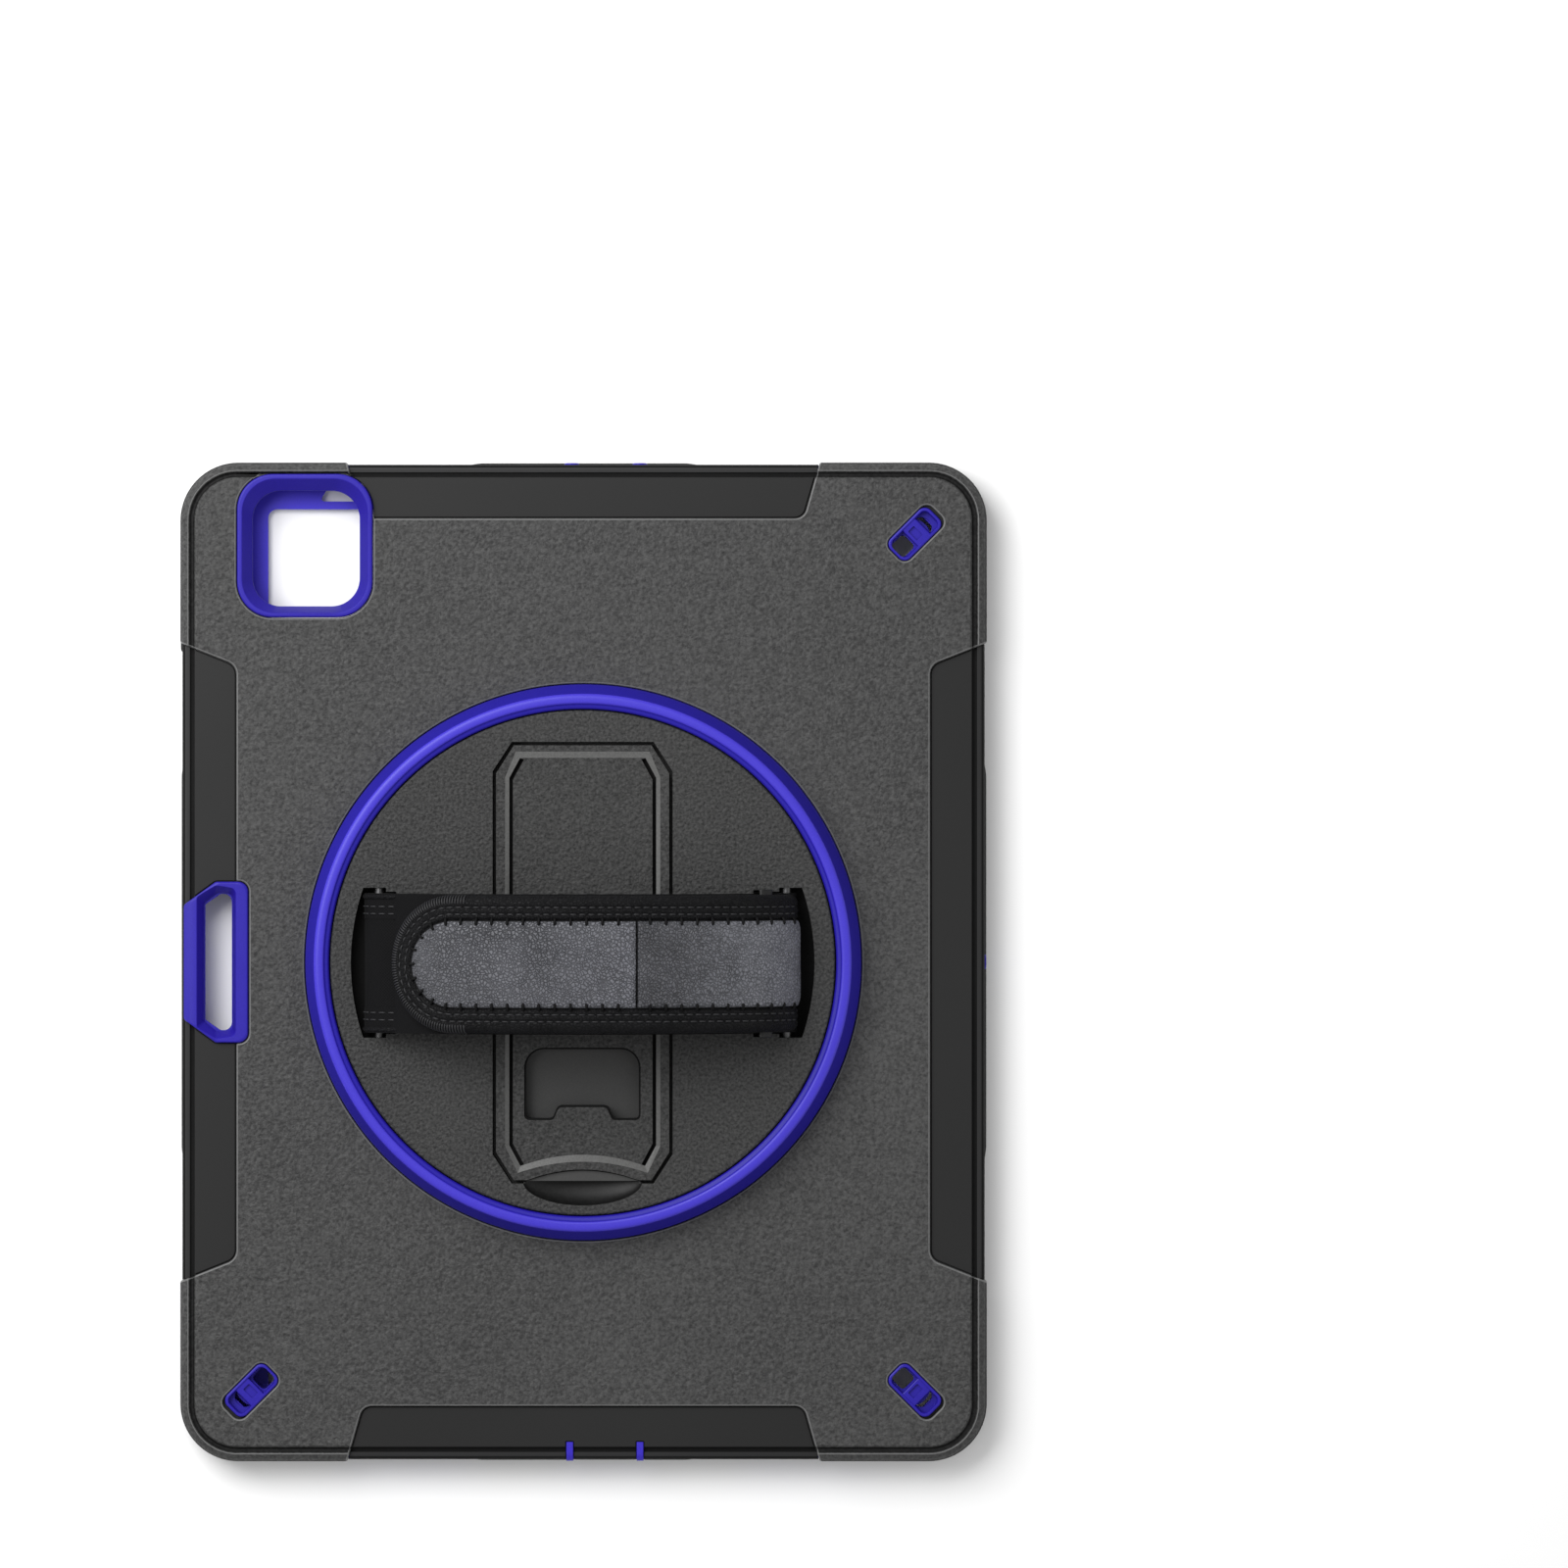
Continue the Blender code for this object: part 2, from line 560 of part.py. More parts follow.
stylus_window_trim = make("stylus_window_trim", stack([(stylus_outline(0), 12.9), (stylus_outline(0), 13.5), (stylus_outline(-0.9), 14.2)]), mat_trim)
join(stylus_window_trim, prism(rect(*STYLUS_NECK, 1.7, 3), 9.4, 13.2))
cut(stylus_window_trim, prism(rect(*STYLUS_HOLE, 1.2, 3), 5, 20))
smooth(stylus_window_trim, 40)

for k, (x, y) in enumerate(ANCHORS, 1):
    turn = anchor_angle(x, y)
    anchor = make("lanyard_anchor_%d" % k, prism(anchor_outline(x, y, 0), Z_SKIN_LOW, 13.9), mat_trim)
    well = moved(rect(-ANCHOR_L / 2 + 0.8, ANCHOR_L / 2 - 0.8, -ANCHOR_W / 2 + 0.8, ANCHOR_W / 2 - 0.8, 1.6, 4), x, y, turn)
    cut(anchor, prism(well, 11.4, 20))
    join(anchor, prism(moved(rect(-1.9, 2.9, -ANCHOR_W / 2 + 0.3, ANCHOR_W / 2 - 0.3), x, y, turn), 12.5, 13.8))
    cut(anchor, prism(anchor_hole(x, y, 2.6), 5, 20), prism(anchor_slit(x, y, 0.7), 5, 20))
    smooth(anchor)

for k, (x, sign) in enumerate(SPEAKERS, 1):
    half_l, half_h = SPEAKER_L / 2, SPEAKER_H / 2
    low, high = sorted((sign * 144.1, sign * 146.2))
    grille = make("speaker_grille_%d" % k, prism([(x + u, PORT_Z + v) for u, v in rect(-half_l, half_l, -half_h, half_h, 0.8, 2)], low, high, "Y"), mat_trim)
    for i in range(9):
        u = x + (i - 4) * 4.1
        cut(grille, block(u - 1.1, u + 1.1, -150, 150, PORT_Z - 1.0, PORT_Z + 1.0))
    smooth(grille)

for k, (x, y, axis) in enumerate(MICS, 1):
    if axis == "Y":
        port = make("mic_port_%d" % k, drum(x, PORT_Z, 2.2, 144.1, 146.4, 16, "Y"), mat_trim)
        cut(port, drum(x, PORT_Z, 0.8, 140, 150, 10, "Y"))
    else:
        port = make("mic_port_%d" % k, drum(y, PORT_Z, 2.2, 115.9, 118.2, 16, "X"), mat_trim)
        cut(port, drum(y, PORT_Z, 0.8, 110, 122, 10, "X"))
    smooth(port)

# ---------------------------------------------------------------- buttons and port flap
power_button = make(
    "power_button",
    prism([(POWER_X + u, PORT_Z + v) for u, v in rect(-BUTTON_L / 2, BUTTON_L / 2, -BUTTON_H / 2, BUTTON_H / 2, 1.2, 3)], 144.7, 146.9 - 0.4, "Y"),
    mat_button,
    (POWER_X, 146.5, PORT_Z),
)
join(power_button, block(POWER_X - 5.0, POWER_X + 5.0, 141.3, 145.5, PORT_Z - 1.2, PORT_Z + 1.2))
smooth(power_button)
for name, y in zip(("volume_up", "volume_down"), VOLUME_Y):
    button = make(
        name,
        prism([(y + u, PORT_Z + v) for u, v in rect(-6.0, 6.0, -BUTTON_H / 2, BUTTON_H / 2, 1.2, 3)], -118.3, -116.6, "X"),
        mat_button,
        (-118.3, y, PORT_Z),
    )
    join(button, block(-117.5, -101.8, y - 4.0, y + 4.0, PORT_Z - 1.2, PORT_Z + 1.2))
    smooth(button)

flap_y, flap_z = FLAP_HINGE
flap_side = [(-146.0, 4.7), (-144.2, 4.7)] + [
    (flap_y + 0.9 * math.cos(math.pi * k / 6), flap_z + 0.9 * math.sin(math.pi * k / 6)) for k in range(7)
]
port_flap = make("port_flap", prism(flap_side, FLAP[0], FLAP[1], "X"), mat_flap, (MIDDLE_X, flap_y, flap_z))
join(port_flap, block(2.1, 10.5, -145, -142.4, 5.4, 7.6))
smooth(port_flap)

# ---------------------------------------------------------------- turntable
turntable = empty("turntable_axis", (0, 0, Z_DISC_LOW))
centre = (0, 0, Z_DISC_LOW)


def round_plate(profile, steps=RING_STEPS):
    """Stacked circles of the given radii."""
    return stack([(ellipse(0, 0, r, r, steps), z) for r, z in profile])


disc = make(
    "turntable_disc",
    round_plate([(FLANGE_R, Z_DISC_LOW), (FLANGE_R, Z_FLANGE_TOP), (DISC_R, Z_FLANGE_TOP + 0.01), (DISC_R, Z_DISC_TOP - 0.5), (DISC_R - 0.5, Z_DISC_TOP)]),
    mat_disc,
    centre,
    turntable,
)
hollow = make("hollow", drum(0, 0, 70.4, Z_DISC_LOW - 2, 19.5, 64), None)
cut(
    hollow,
    prism(octagon(2.0), 0, 30),
    prism(slot_outline(1, 2.0), 0, 30),
    prism(slot_outline(-1, 2.0), 0, 30),
    block(-32.5, 32.5, HINGE_Y - 4, HINGE_Y + 4, 0, 30),
    prism(ellipse(0, -61.5, 19.5, 12, 24), 0, 30),
    block(-66, -50, -26.5, 26.5, 0, 30),
    block(50, 66, -26.5, 26.5, 0, 30),
)
room = bmesh.new()
room.from_mesh(hollow.data)
bmesh.ops.scale(room, verts=room.verts, vec=(1 / MM, 1 / MM, 1 / MM))
bpy.data.objects.remove(hollow, do_unlink=True)
cut(
    disc,
    drum(HINGE_Y, HINGE_Z, AXLE_R + GAP, -30.5, 30.5, 16, "X"),
    drum(PIN_X, PIN_Z, PIN_R + GAP, -24.8, 24.8, 16, "Y"),
    drum(-PIN_X, PIN_Z, PIN_R + GAP, -24.8, 24.8, 16, "Y"),
    room,
    prism(octagon(0), LEG_FLOOR, 30),
    prism(slot_outline(1, 0), LEG_FLOOR, 30),
    prism(slot_outline(-1, 0), LEG_FLOOR, 30),
    stack([(ellipse(0, -61.5, 15.4, 7.6, 24), 16.6), (ellipse(0, -61.5, 17.4, 9.4, 24), 21.6)]),
)
smooth(disc)


# The fixed cover over the far half of the kickstand recess, with a raised border
hinge_cover = make("hinge_cover", prism(octagon(-GAP, -1.9, LEG_Y), LEG_LOW, LEG_TOP), mat_cover, centre, turntable)
cut(hinge_cover, prism(octagon(-5.2, -12.0, LEG_Y), LEG_TOP - 1.0, 30), prism(octagon(-3.2, 1.6, LEG_Y), LEG_LOW - 1, 18.3))
smooth(hinge_cover)

axle = smooth(make("kickstand_axle", drum(HINGE_Y, HINGE_Z, AXLE_R, -30.0, 30.0, 20, "X"), mat_steel, (0, HINGE_Y, HINGE_Z), turntable))
for name, sign in (("strap_pin_left", -1), ("strap_pin_right", 1)):
    smooth(make(name, drum(sign * PIN_X, PIN_Z, PIN_R, -24.4, 24.4, 20, "Y"), mat_steel, (sign * PIN_X, 0, PIN_Z), turntable))


def arch(t, out):
    """A point on the strap's arch, out from the middle of the band. t runs from the right pin, 0, to the left, pi."""
    x, z = ARCH_A * math.cos(t), ARCH_Z + ARCH_H * math.sin(t)
    normal = Vector((ARCH_H * math.cos(t), ARCH_A * math.sin(t))).normalized()
    return x + normal.x * out, z + normal.y * out


ARCH_STEPS = 28
top_side = [arch(math.pi * k / ARCH_STEPS, BAND_T / 2) for k in range(ARCH_STEPS + 1)]
low_side = [arch(math.pi * k / ARCH_STEPS, -BAND_T / 2) for k in reversed(range(ARCH_STEPS + 1))]
strap_band = make("strap_band", prism(top_side + low_side, -BAND_HALF, BAND_HALF, "Y"), mat_band, centre, turntable)
# Its left end is doubled back outside the pin
LOOP_T = [2.74 + (math.pi - 2.74) * k / 6 for k in range(7)]
doubled = [arch(t, 0.4 + 4.9 * math.sin(k / 6 * math.pi / 2) ** 1.2) for k, t in enumerate(LOOP_T)]
join(strap_band, prism(doubled + [(-63.7, 17.6), (-62.9, 16.2), (-61.2, 15.5), (-59.5, 15.45), (-57.0, 16.5), (-56.0, 22.0)], -BAND_HALF, BAND_HALF, "Y"))
for sign in (1, -1):
    join(strap_band, drum(sign * PIN_X, PIN_Z, 3.0, -BAND_HALF, BAND_HALF, 24, "Y"))
    cut(strap_band, drum(sign * PIN_X, PIN_Z, PIN_R + GAP, -30, 30, 20, "Y"))
smooth(strap_band)

# The pad lies on the band, from a rounded free end on the left into the right slot
low_out = BAND_T / 2 + GAP


def pad_section(t, half, thick):
    """A flat oval section of the pad at one place along the arch."""
    points = []
    for y, share in ((-1.0, 0.30), (-1.0, 0.62), (-0.93, 0.93), (-0.62, 1.0), (0.62, 1.0), (0.93, 0.93), (1.0, 0.62), (1.0, 0.30), (0.95, 0.0), (-0.95, 0.0)):
        x, z = arch(t, low_out + thick * share)
        points.append((x, y * half, z))
    return points


PAD_START, PAD_END = 0.1, 2.66
length = [0.0]
marks = [PAD_START + (PAD_END - PAD_START) * k / 200 for k in range(201)]
for a, b in zip(marks, marks[1:]):
    p, q = arch(a, low_out), arch(b, low_out)
    length.append(length[-1] + math.hypot(q[0] - p[0], q[1] - p[1]))
sections = []
straight = [k for k in range(0, 170, 8)]
for k in straight + [170, 176, 181, 186, 190, 193, 196, 198, 199]:
    rest = length[-1] - length[k]
    share = 1.0 if rest >= PAD_HALF else math.sqrt(max(1 - (1 - rest / PAD_HALF) ** 2, 0.0004))
    sections.append(pad_section(marks[k], PAD_HALF * share, PAD_T if rest > 3 else PAD_T * (0.62 + 0.38 * rest / 3)))
strap_pad = make("strap_pad", solid(sections), mat_pad, centre, turntable)

# The plastic loop that holds the strap's layers together
keeper_t = math.acos(KEEPER_X / ARCH_A)
cx, cz = arch(keeper_t, 0)
nx, nz = arch(keeper_t, 1)
normal = Vector((nx - cx, nz - cz))
along = Vector((-normal.y, normal.x))


def keeper_block(half_long, low, high, half_y):
    corners = [
        (cx + along.x * a + normal.x * n, cz + along.y * a + normal.y * n)
        for a, n in ((-half_long, low), (half_long, low), (half_long, high), (-half_long, high))
    ]
    return prism(corners, -half_y, half_y, "Y")


strap_keeper = make("strap_keeper", keeper_block(2.4, -2.3, 2.3, 21.4), mat_keeper, centre, turntable)
cut(strap_keeper, keeper_block(5, -BAND_T / 2 - 0.45, BAND_T / 2 + 0.45, BAND_HALF + 0.3))
smooth(strap_keeper)
cut(strap_pad, keeper_block(2.8, -3.0, 2.65, 22.5))
smooth(strap_pad, 50)

# ---------------------------------------------------------------- kickstand
kick_axis = empty("kickstand_axis", (0, HINGE_Y, HINGE_Z), turntable)
leg_side = [(-LEG_Y - 5, LEG_LOW), (HINGE_Y, LEG_LOW)]
leg_side += [
    (HINGE_Y + HINGE_R * math.sin(math.pi * k / 8), HINGE_Z - HINGE_R * math.cos(math.pi * k / 8)) for k in range(1, 8)
]
leg_side += [(HINGE_Y, LEG_TOP), (-LEG_Y - 5, LEG_TOP)]
leg = make("kickstand_leg", prism(leg_side, -LEG_X + GAP, LEG_X - GAP, "X"), mat_leg, (0, HINGE_Y, HINGE_Z), kick_axis)
combine(leg, prism(octagon(-GAP, -LEG_Y, 0.0), 0, 40), "INTERSECT")
arc = [(-17.5 + 35 * k / 12, -60.4 - 3.6 * ((-17.5 + 35 * k / 12) / 16.6) ** 2) for k in range(13)]
panel_arc = [(-18.3 + 36.6 * k / 10, -56.2 - 4.0 * ((-18.3 + 36.6 * k / 10) / 18.3) ** 2) for k in range(11)]
cut(
    leg,
    prism(arc + [(17.5, -70), (-17.5, -70)], 0, 40),
    prism([(-21.3, -52.0), (-18.3, -60.0)] + panel_arc[1:-1] + [(18.3, -60.0), (21.3, -52.0), (21.3, -12.5), (-21.3, -12.5)], LEG_TOP - 1.0, 40),
    prism(
        rounded(
            [
                (-16.6, -45.7, 1.2, 2), (-8.7, -45.7, 0.8, 2), (-7.2, -41.5, 1.4, 3), (7.2, -41.5, 1.4, 3),
                (8.7, -45.7, 0.8, 2), (16.6, -45.7, 1.2, 2), (16.6, -25.3, 5.0, 4), (-16.6, -25.3, 5.0, 4),
            ]
        ),
        0,
        40,
    ),
    drum(HINGE_Y, HINGE_Z, AXLE_R + GAP, -40, 40, 16, "X"),
)
smooth(leg)
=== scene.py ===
"""Looks of the rugged tablet case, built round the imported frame. Lengths in the code are millimetres unless said."""

import json
import math

import bmesh
import bpy
from mathutils import Matrix, Vector, noise

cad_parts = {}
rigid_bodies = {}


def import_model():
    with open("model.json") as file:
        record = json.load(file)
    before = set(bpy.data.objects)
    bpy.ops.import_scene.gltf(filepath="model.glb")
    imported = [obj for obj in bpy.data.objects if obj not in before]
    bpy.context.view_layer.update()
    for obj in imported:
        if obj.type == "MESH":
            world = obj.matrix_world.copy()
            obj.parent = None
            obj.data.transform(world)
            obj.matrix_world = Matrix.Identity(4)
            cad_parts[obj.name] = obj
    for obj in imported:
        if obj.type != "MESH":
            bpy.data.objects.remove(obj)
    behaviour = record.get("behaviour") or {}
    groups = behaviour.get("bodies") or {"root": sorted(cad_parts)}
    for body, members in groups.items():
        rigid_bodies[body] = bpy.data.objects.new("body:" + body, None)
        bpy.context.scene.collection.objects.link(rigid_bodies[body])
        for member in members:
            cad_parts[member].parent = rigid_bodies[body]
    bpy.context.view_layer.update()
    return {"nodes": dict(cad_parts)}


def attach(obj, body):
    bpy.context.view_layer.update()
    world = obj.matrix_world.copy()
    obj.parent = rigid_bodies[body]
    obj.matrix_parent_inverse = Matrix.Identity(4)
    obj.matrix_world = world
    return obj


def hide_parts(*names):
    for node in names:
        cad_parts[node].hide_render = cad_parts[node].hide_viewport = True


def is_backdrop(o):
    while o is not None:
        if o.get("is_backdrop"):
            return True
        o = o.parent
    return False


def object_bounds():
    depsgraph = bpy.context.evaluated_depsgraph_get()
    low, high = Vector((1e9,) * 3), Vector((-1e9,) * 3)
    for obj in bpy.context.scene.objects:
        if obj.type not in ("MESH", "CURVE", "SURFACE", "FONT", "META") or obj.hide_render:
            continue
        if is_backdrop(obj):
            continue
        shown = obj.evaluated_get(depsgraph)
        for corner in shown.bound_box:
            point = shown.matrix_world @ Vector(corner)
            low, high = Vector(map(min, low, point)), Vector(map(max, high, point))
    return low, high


for old in list(bpy.data.objects):
    bpy.data.objects.remove(old, do_unlink=True)

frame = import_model()

MM = 0.001
HALF_X, HALF_Y, CORNER_R = 118.3, 146.5, 17.0
Z_SKIN_TOP, Z_PANEL_TOP, Z_SHELL_LOW, Z_BACK, Z_RIM = 11.9, 12.6, 12.2, 13.8, 22.3
Z_DISC_LOW, Z_FLANGE_TOP, Z_DISC_TOP = 14.1, 17.0, 21.2
RING_OUT, DISC_R, FLANGE_R = 81.4, 73.8, 76.2
MIDDLE_X = 6.5
SIDE_CUT_EDGE, SIDE_CUT_IN, SIDE_CUT_X = 93.6, 87.0, 101.6
END_CUT_EDGE, END_CUT_IN, END_CUT_Y = 69.3, 64.6, 130.0
LEG_X, LEG_Y, LEG_CUT_X, LEG_CUT_Y = 26.3, 64.5, 5.6, 8.6
LEG_LOW, LEG_TOP, LEG_FLOOR = 15.5, 20.9, 15.2
HINGE_Y, HINGE_Z, HINGE_R, AXLE_R = -5.0, 18.2, 2.7, 1.5
PIN_X, PIN_Z, PIN_R = 59.5, 18.4, 1.5
ARCH_A, ARCH_Z, ARCH_H = 58.5, 19.5, 25.5
BAND_T, BAND_HALF, PAD_T, PAD_HALF = 1.8, 20.3, 4.4, 20.0
SLOT_ARC_R, SLOT_HALF, SLOT_IN = 67.7, 21.9, 54.5
KEEPER_X = 52.6
PORT_Z = 6.3
SPEAKERS = ((-53.0, 1), (66.0, 1), (-53.0, -1), (66.0, -1))
MICS = ((16.5, 146.5, "Y"), (-3.5, 146.5, "Y"), (118.3, 0.0, "X"))
RIBS, RIB_W = (-4.0, 16.6), 1.9
FLAP, FLAP_HINGE = (-2.4, 15.0), (-145.1, 9.7)
POWER_X, BUTTON_L, BUTTON_H = -84.0, 13.0, 4.0
VOLUME_Y = (110.5, 97.0)
CAMERA = (-101.4, -61.7, 101.0, 143.0, 10.5)
CAMERA_HOLE = (-97.0, -65.6, 104.3, 138.2, 8.3)
STYLUS_TRIM = (-117.0, -98.1, -23.6, 23.6)
STYLUS_NECK = (-112.5, -101.5, -21.6, 21.6)
STYLUS_HOLE = (-110.9, -103.1, -20.0, 20.0)
ANCHORS = ((97.1, 125.4), (97.1, -125.4), (-97.2, -125.4))
ANCHOR_L, ANCHOR_W, ANCHOR_R = 16.5, 8.2, 2.4
WINDOW = (-92.9, 106.1, -133.0, 133.0)
BAY_MOUTH = (-112.9, -100.5, -87.5, 87.5)


# ================================================================ geometry helpers
def rounded(points):
    found = []
    for i, (x, y, r, steps) in enumerate(points):
        here = Vector((x, y))
        before = (Vector(points[i - 1][:2]) - here).normalized()
        after = (Vector(points[(i + 1) % len(points)][:2]) - here).normalized()
        if r <= 0:
            found.append((x, y))
            continue
        half = before.angle(after) / 2
        reach = r / math.tan(half)
        start, end = here + before * reach, here + after * reach
        centre = here + (before + after).normalized() * (r / math.sin(half))
        a, b = start - centre, end - centre
        turn = a.angle_signed(b)
        for k in range(steps + 1):
            c, s = math.cos(-turn * k / steps), math.sin(-turn * k / steps)
            found.append((centre.x + a.x * c - a.y * s, centre.y + a.x * s + a.y * c))
    return found


def rect(x0, x1, y0, y1, r=0.0, steps=8):
    return rounded([(x0, y0, r, steps), (x1, y0, r, steps), (x1, y1, r, steps), (x0, y1, r, steps)])


def inset(x, y):
    """How far a point lies inside the case's outline."""
    across, along = abs(x) - (HALF_X - CORNER_R), abs(y) - (HALF_Y - CORNER_R)
    if across > 0 and along > 0:
        return CORNER_R - math.hypot(across, along)
    return min(HALF_X - abs(x), HALF_Y - abs(y))


def outline(offset, steps=20, extra=0):
    """The case's outline moved in by offset, with extra points along its straight sides."""
    x, y, r = HALF_X - offset, HALF_Y - offset, max(CORNER_R - offset, 2.0)
    corners = rect(-x, x, -y, y, r, steps)
    if not extra:
        return corners
    found, n = [], len(corners)
    for i, p in enumerate(corners):
        found.append(p)
        q = corners[(i + 1) % n]
        if math.dist(p, q) > 60:
            found += [(p[0] + (q[0] - p[0]) * k / (extra + 1), p[1] + (q[1] - p[1]) * k / (extra + 1)) for k in range(1, extra + 1)]
    return found


def ellipse(cx, cy, a, b, steps):
    return [(cx + a * math.cos(math.tau * k / steps), cy + b * math.sin(math.tau * k / steps)) for k in range(steps)]


def moved(points, x, y, degrees=0.0):
    c, s = math.cos(math.radians(degrees)), math.sin(math.radians(degrees))
    return [(x + px * c - py * s, y + px * s + py * c) for px, py in points]


def solid(rings, closed=False):
    bm = bmesh.new()
    rows = [[bm.verts.new(Vector(p)) for p in ring] for ring in rings]
    count = len(rows[0])
    pairs = list(zip(rows, rows[1:] + rows[:1])) if closed else list(zip(rows, rows[1:]))
    for low, high in pairs:
        for i in range(count):
            j = (i + 1) % count
            bm.faces.new((low[i], low[j], high[j], high[i]))
    if not closed:
        bm.faces.new(list(reversed(rows[0])))
        bm.faces.new(rows[-1])
    bmesh.ops.recalc_face_normals(bm, faces=bm.faces[:])
    return bm


def prism(points, low, high, axis="Z"):
    def at(p, level):
        return {"Z": (p[0], p[1], level), "X": (level, p[0], p[1]), "Y": (p[0], level, p[1])}[axis]

    return solid([[at(p, low) for p in points], [at(p, high) for p in points]])


def stack(levels):
    return solid([[(x, y, z) for x, y in points] for points, z in levels])


def loop(levels):
    """A closed ring through (outline, z) levels that follow one another round its section."""
    return solid([[(x, y, z) for x, y in points] for points, z in levels], closed=True)


def block(x0, x1, y0, y1, z0, z1):
    return prism(rect(x0, x1, y0, y1), z0, z1)


def turned(profile, steps=192):
    return solid(
        [[(r * math.cos(math.tau * k / steps), r * math.sin(math.tau * k / steps), z) for r, z in profile] for k in range(steps)],
        closed=True,
    )


def drum(x, y, r, low, high, steps=40, axis="Z"):
    return prism(ellipse(x, y, r, r, steps), low, high, axis)


def make(name, bm, *mats):
    bmesh.ops.scale(bm, verts=bm.verts, vec=(MM, MM, MM))
    mesh = bpy.data.meshes.new(name)
    bm.to_mesh(mesh)
    bm.free()
    obj = bpy.data.objects.new(name, mesh)
    bpy.context.scene.collection.objects.link(obj)
    for mat in mats:
        mesh.materials.append(mat)
    return obj


def combine(obj, bm, operation):
    tool = make("tool", bm)
    bpy.context.view_layer.update()
    step = obj.modifiers.new("step", "BOOLEAN")
    step.operation, step.solver, step.object = operation, "EXACT", tool
    graph = bpy.context.evaluated_depsgraph_get()
    result = bpy.data.meshes.new_from_object(obj.evaluated_get(graph))
    obj.modifiers.clear()
    before, spent = obj.data, tool.data
    obj.data = result
    bpy.data.objects.remove(tool, do_unlink=True)
    bpy.data.meshes.remove(before)
    bpy.data.meshes.remove(spent)
    obj.data.name = obj.name
    return obj


def cut(obj, *meshes):
    for bm in meshes:
        combine(obj, bm, "DIFFERENCE")
    return obj


def join(obj, *meshes):
    for bm in meshes:
        combine(obj, bm, "UNION")
    return obj


def as_bm(obj):
    """Takes an object's mesh out as millimetres and removes the object."""
    bm = bmesh.new()
    bm.from_mesh(obj.data)
    bmesh.ops.scale(bm, verts=bm.verts, vec=(1 / MM, 1 / MM, 1 / MM))
    spent = obj.data
    bpy.data.objects.remove(obj, do_unlink=True)
    bpy.data.meshes.remove(spent)
    return bm


def tidy(obj):
    """Joins coplanar faces and drops the slivers a Boolean leaves."""
    bm = bmesh.new()
    bm.from_mesh(obj.data)
    bmesh.ops.remove_doubles(bm, verts=bm.verts, dist=2e-6)
    bmesh.ops.dissolve_limit(bm, angle_limit=math.radians(0.4), verts=bm.verts, edges=bm.edges, delimit={"MATERIAL"})
    bm.to_mesh(obj.data)
    bm.free()
    return obj


def soften(obj, width=0.3, segments=3, angle=40, edge_slot=-1, clean=True, clamp=True):
    """Rounds the sharp edges and shades the rest smooth, with the flat faces kept flat."""
    if clean:
        tidy(obj)
    obj.data.shade_smooth()
    step = obj.modifiers.new("round", "BEVEL")
    step.width, step.segments, step.limit_method, step.angle_limit = width * MM, segments, "ANGLE", math.radians(angle)
    step.miter_outer = "MITER_ARC"
    step.material = edge_slot
    step.use_clamp_overlap = clamp
    step.loop_slide = False
    step.harden_normals = False
    weights = obj.modifiers.new("normals", "WEIGHTED_NORMAL")
    weights.mode, weights.weight, weights.keep_sharp = "FACE_AREA", 80, True
    return obj


def place(obj, body, *nodes, slot=None):
    if nodes:
        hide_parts(*nodes)
    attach(obj, body)
    return obj


# ================================================================ materials
def nodes_of(name):
    mat = bpy.data.materials.new(name)
    mat.use_nodes = True
    tree = mat.node_tree
    return mat, tree, tree.nodes["Principled BSDF"]


def link(tree, a, out, b, into):
    tree.links.new(a.outputs[out], b.inputs[into])


def ramp(tree, low, high, a=0.3, b=0.7):
    node = tree.nodes.new("ShaderNodeValToRGB")
    node.color_ramp.elements[0].position, node.color_ramp.elements[0].color = a, (*low, 1)
    node.color_ramp.elements[1].position, node.color_ramp.elements[1].color = b, (*high, 1)
    return node


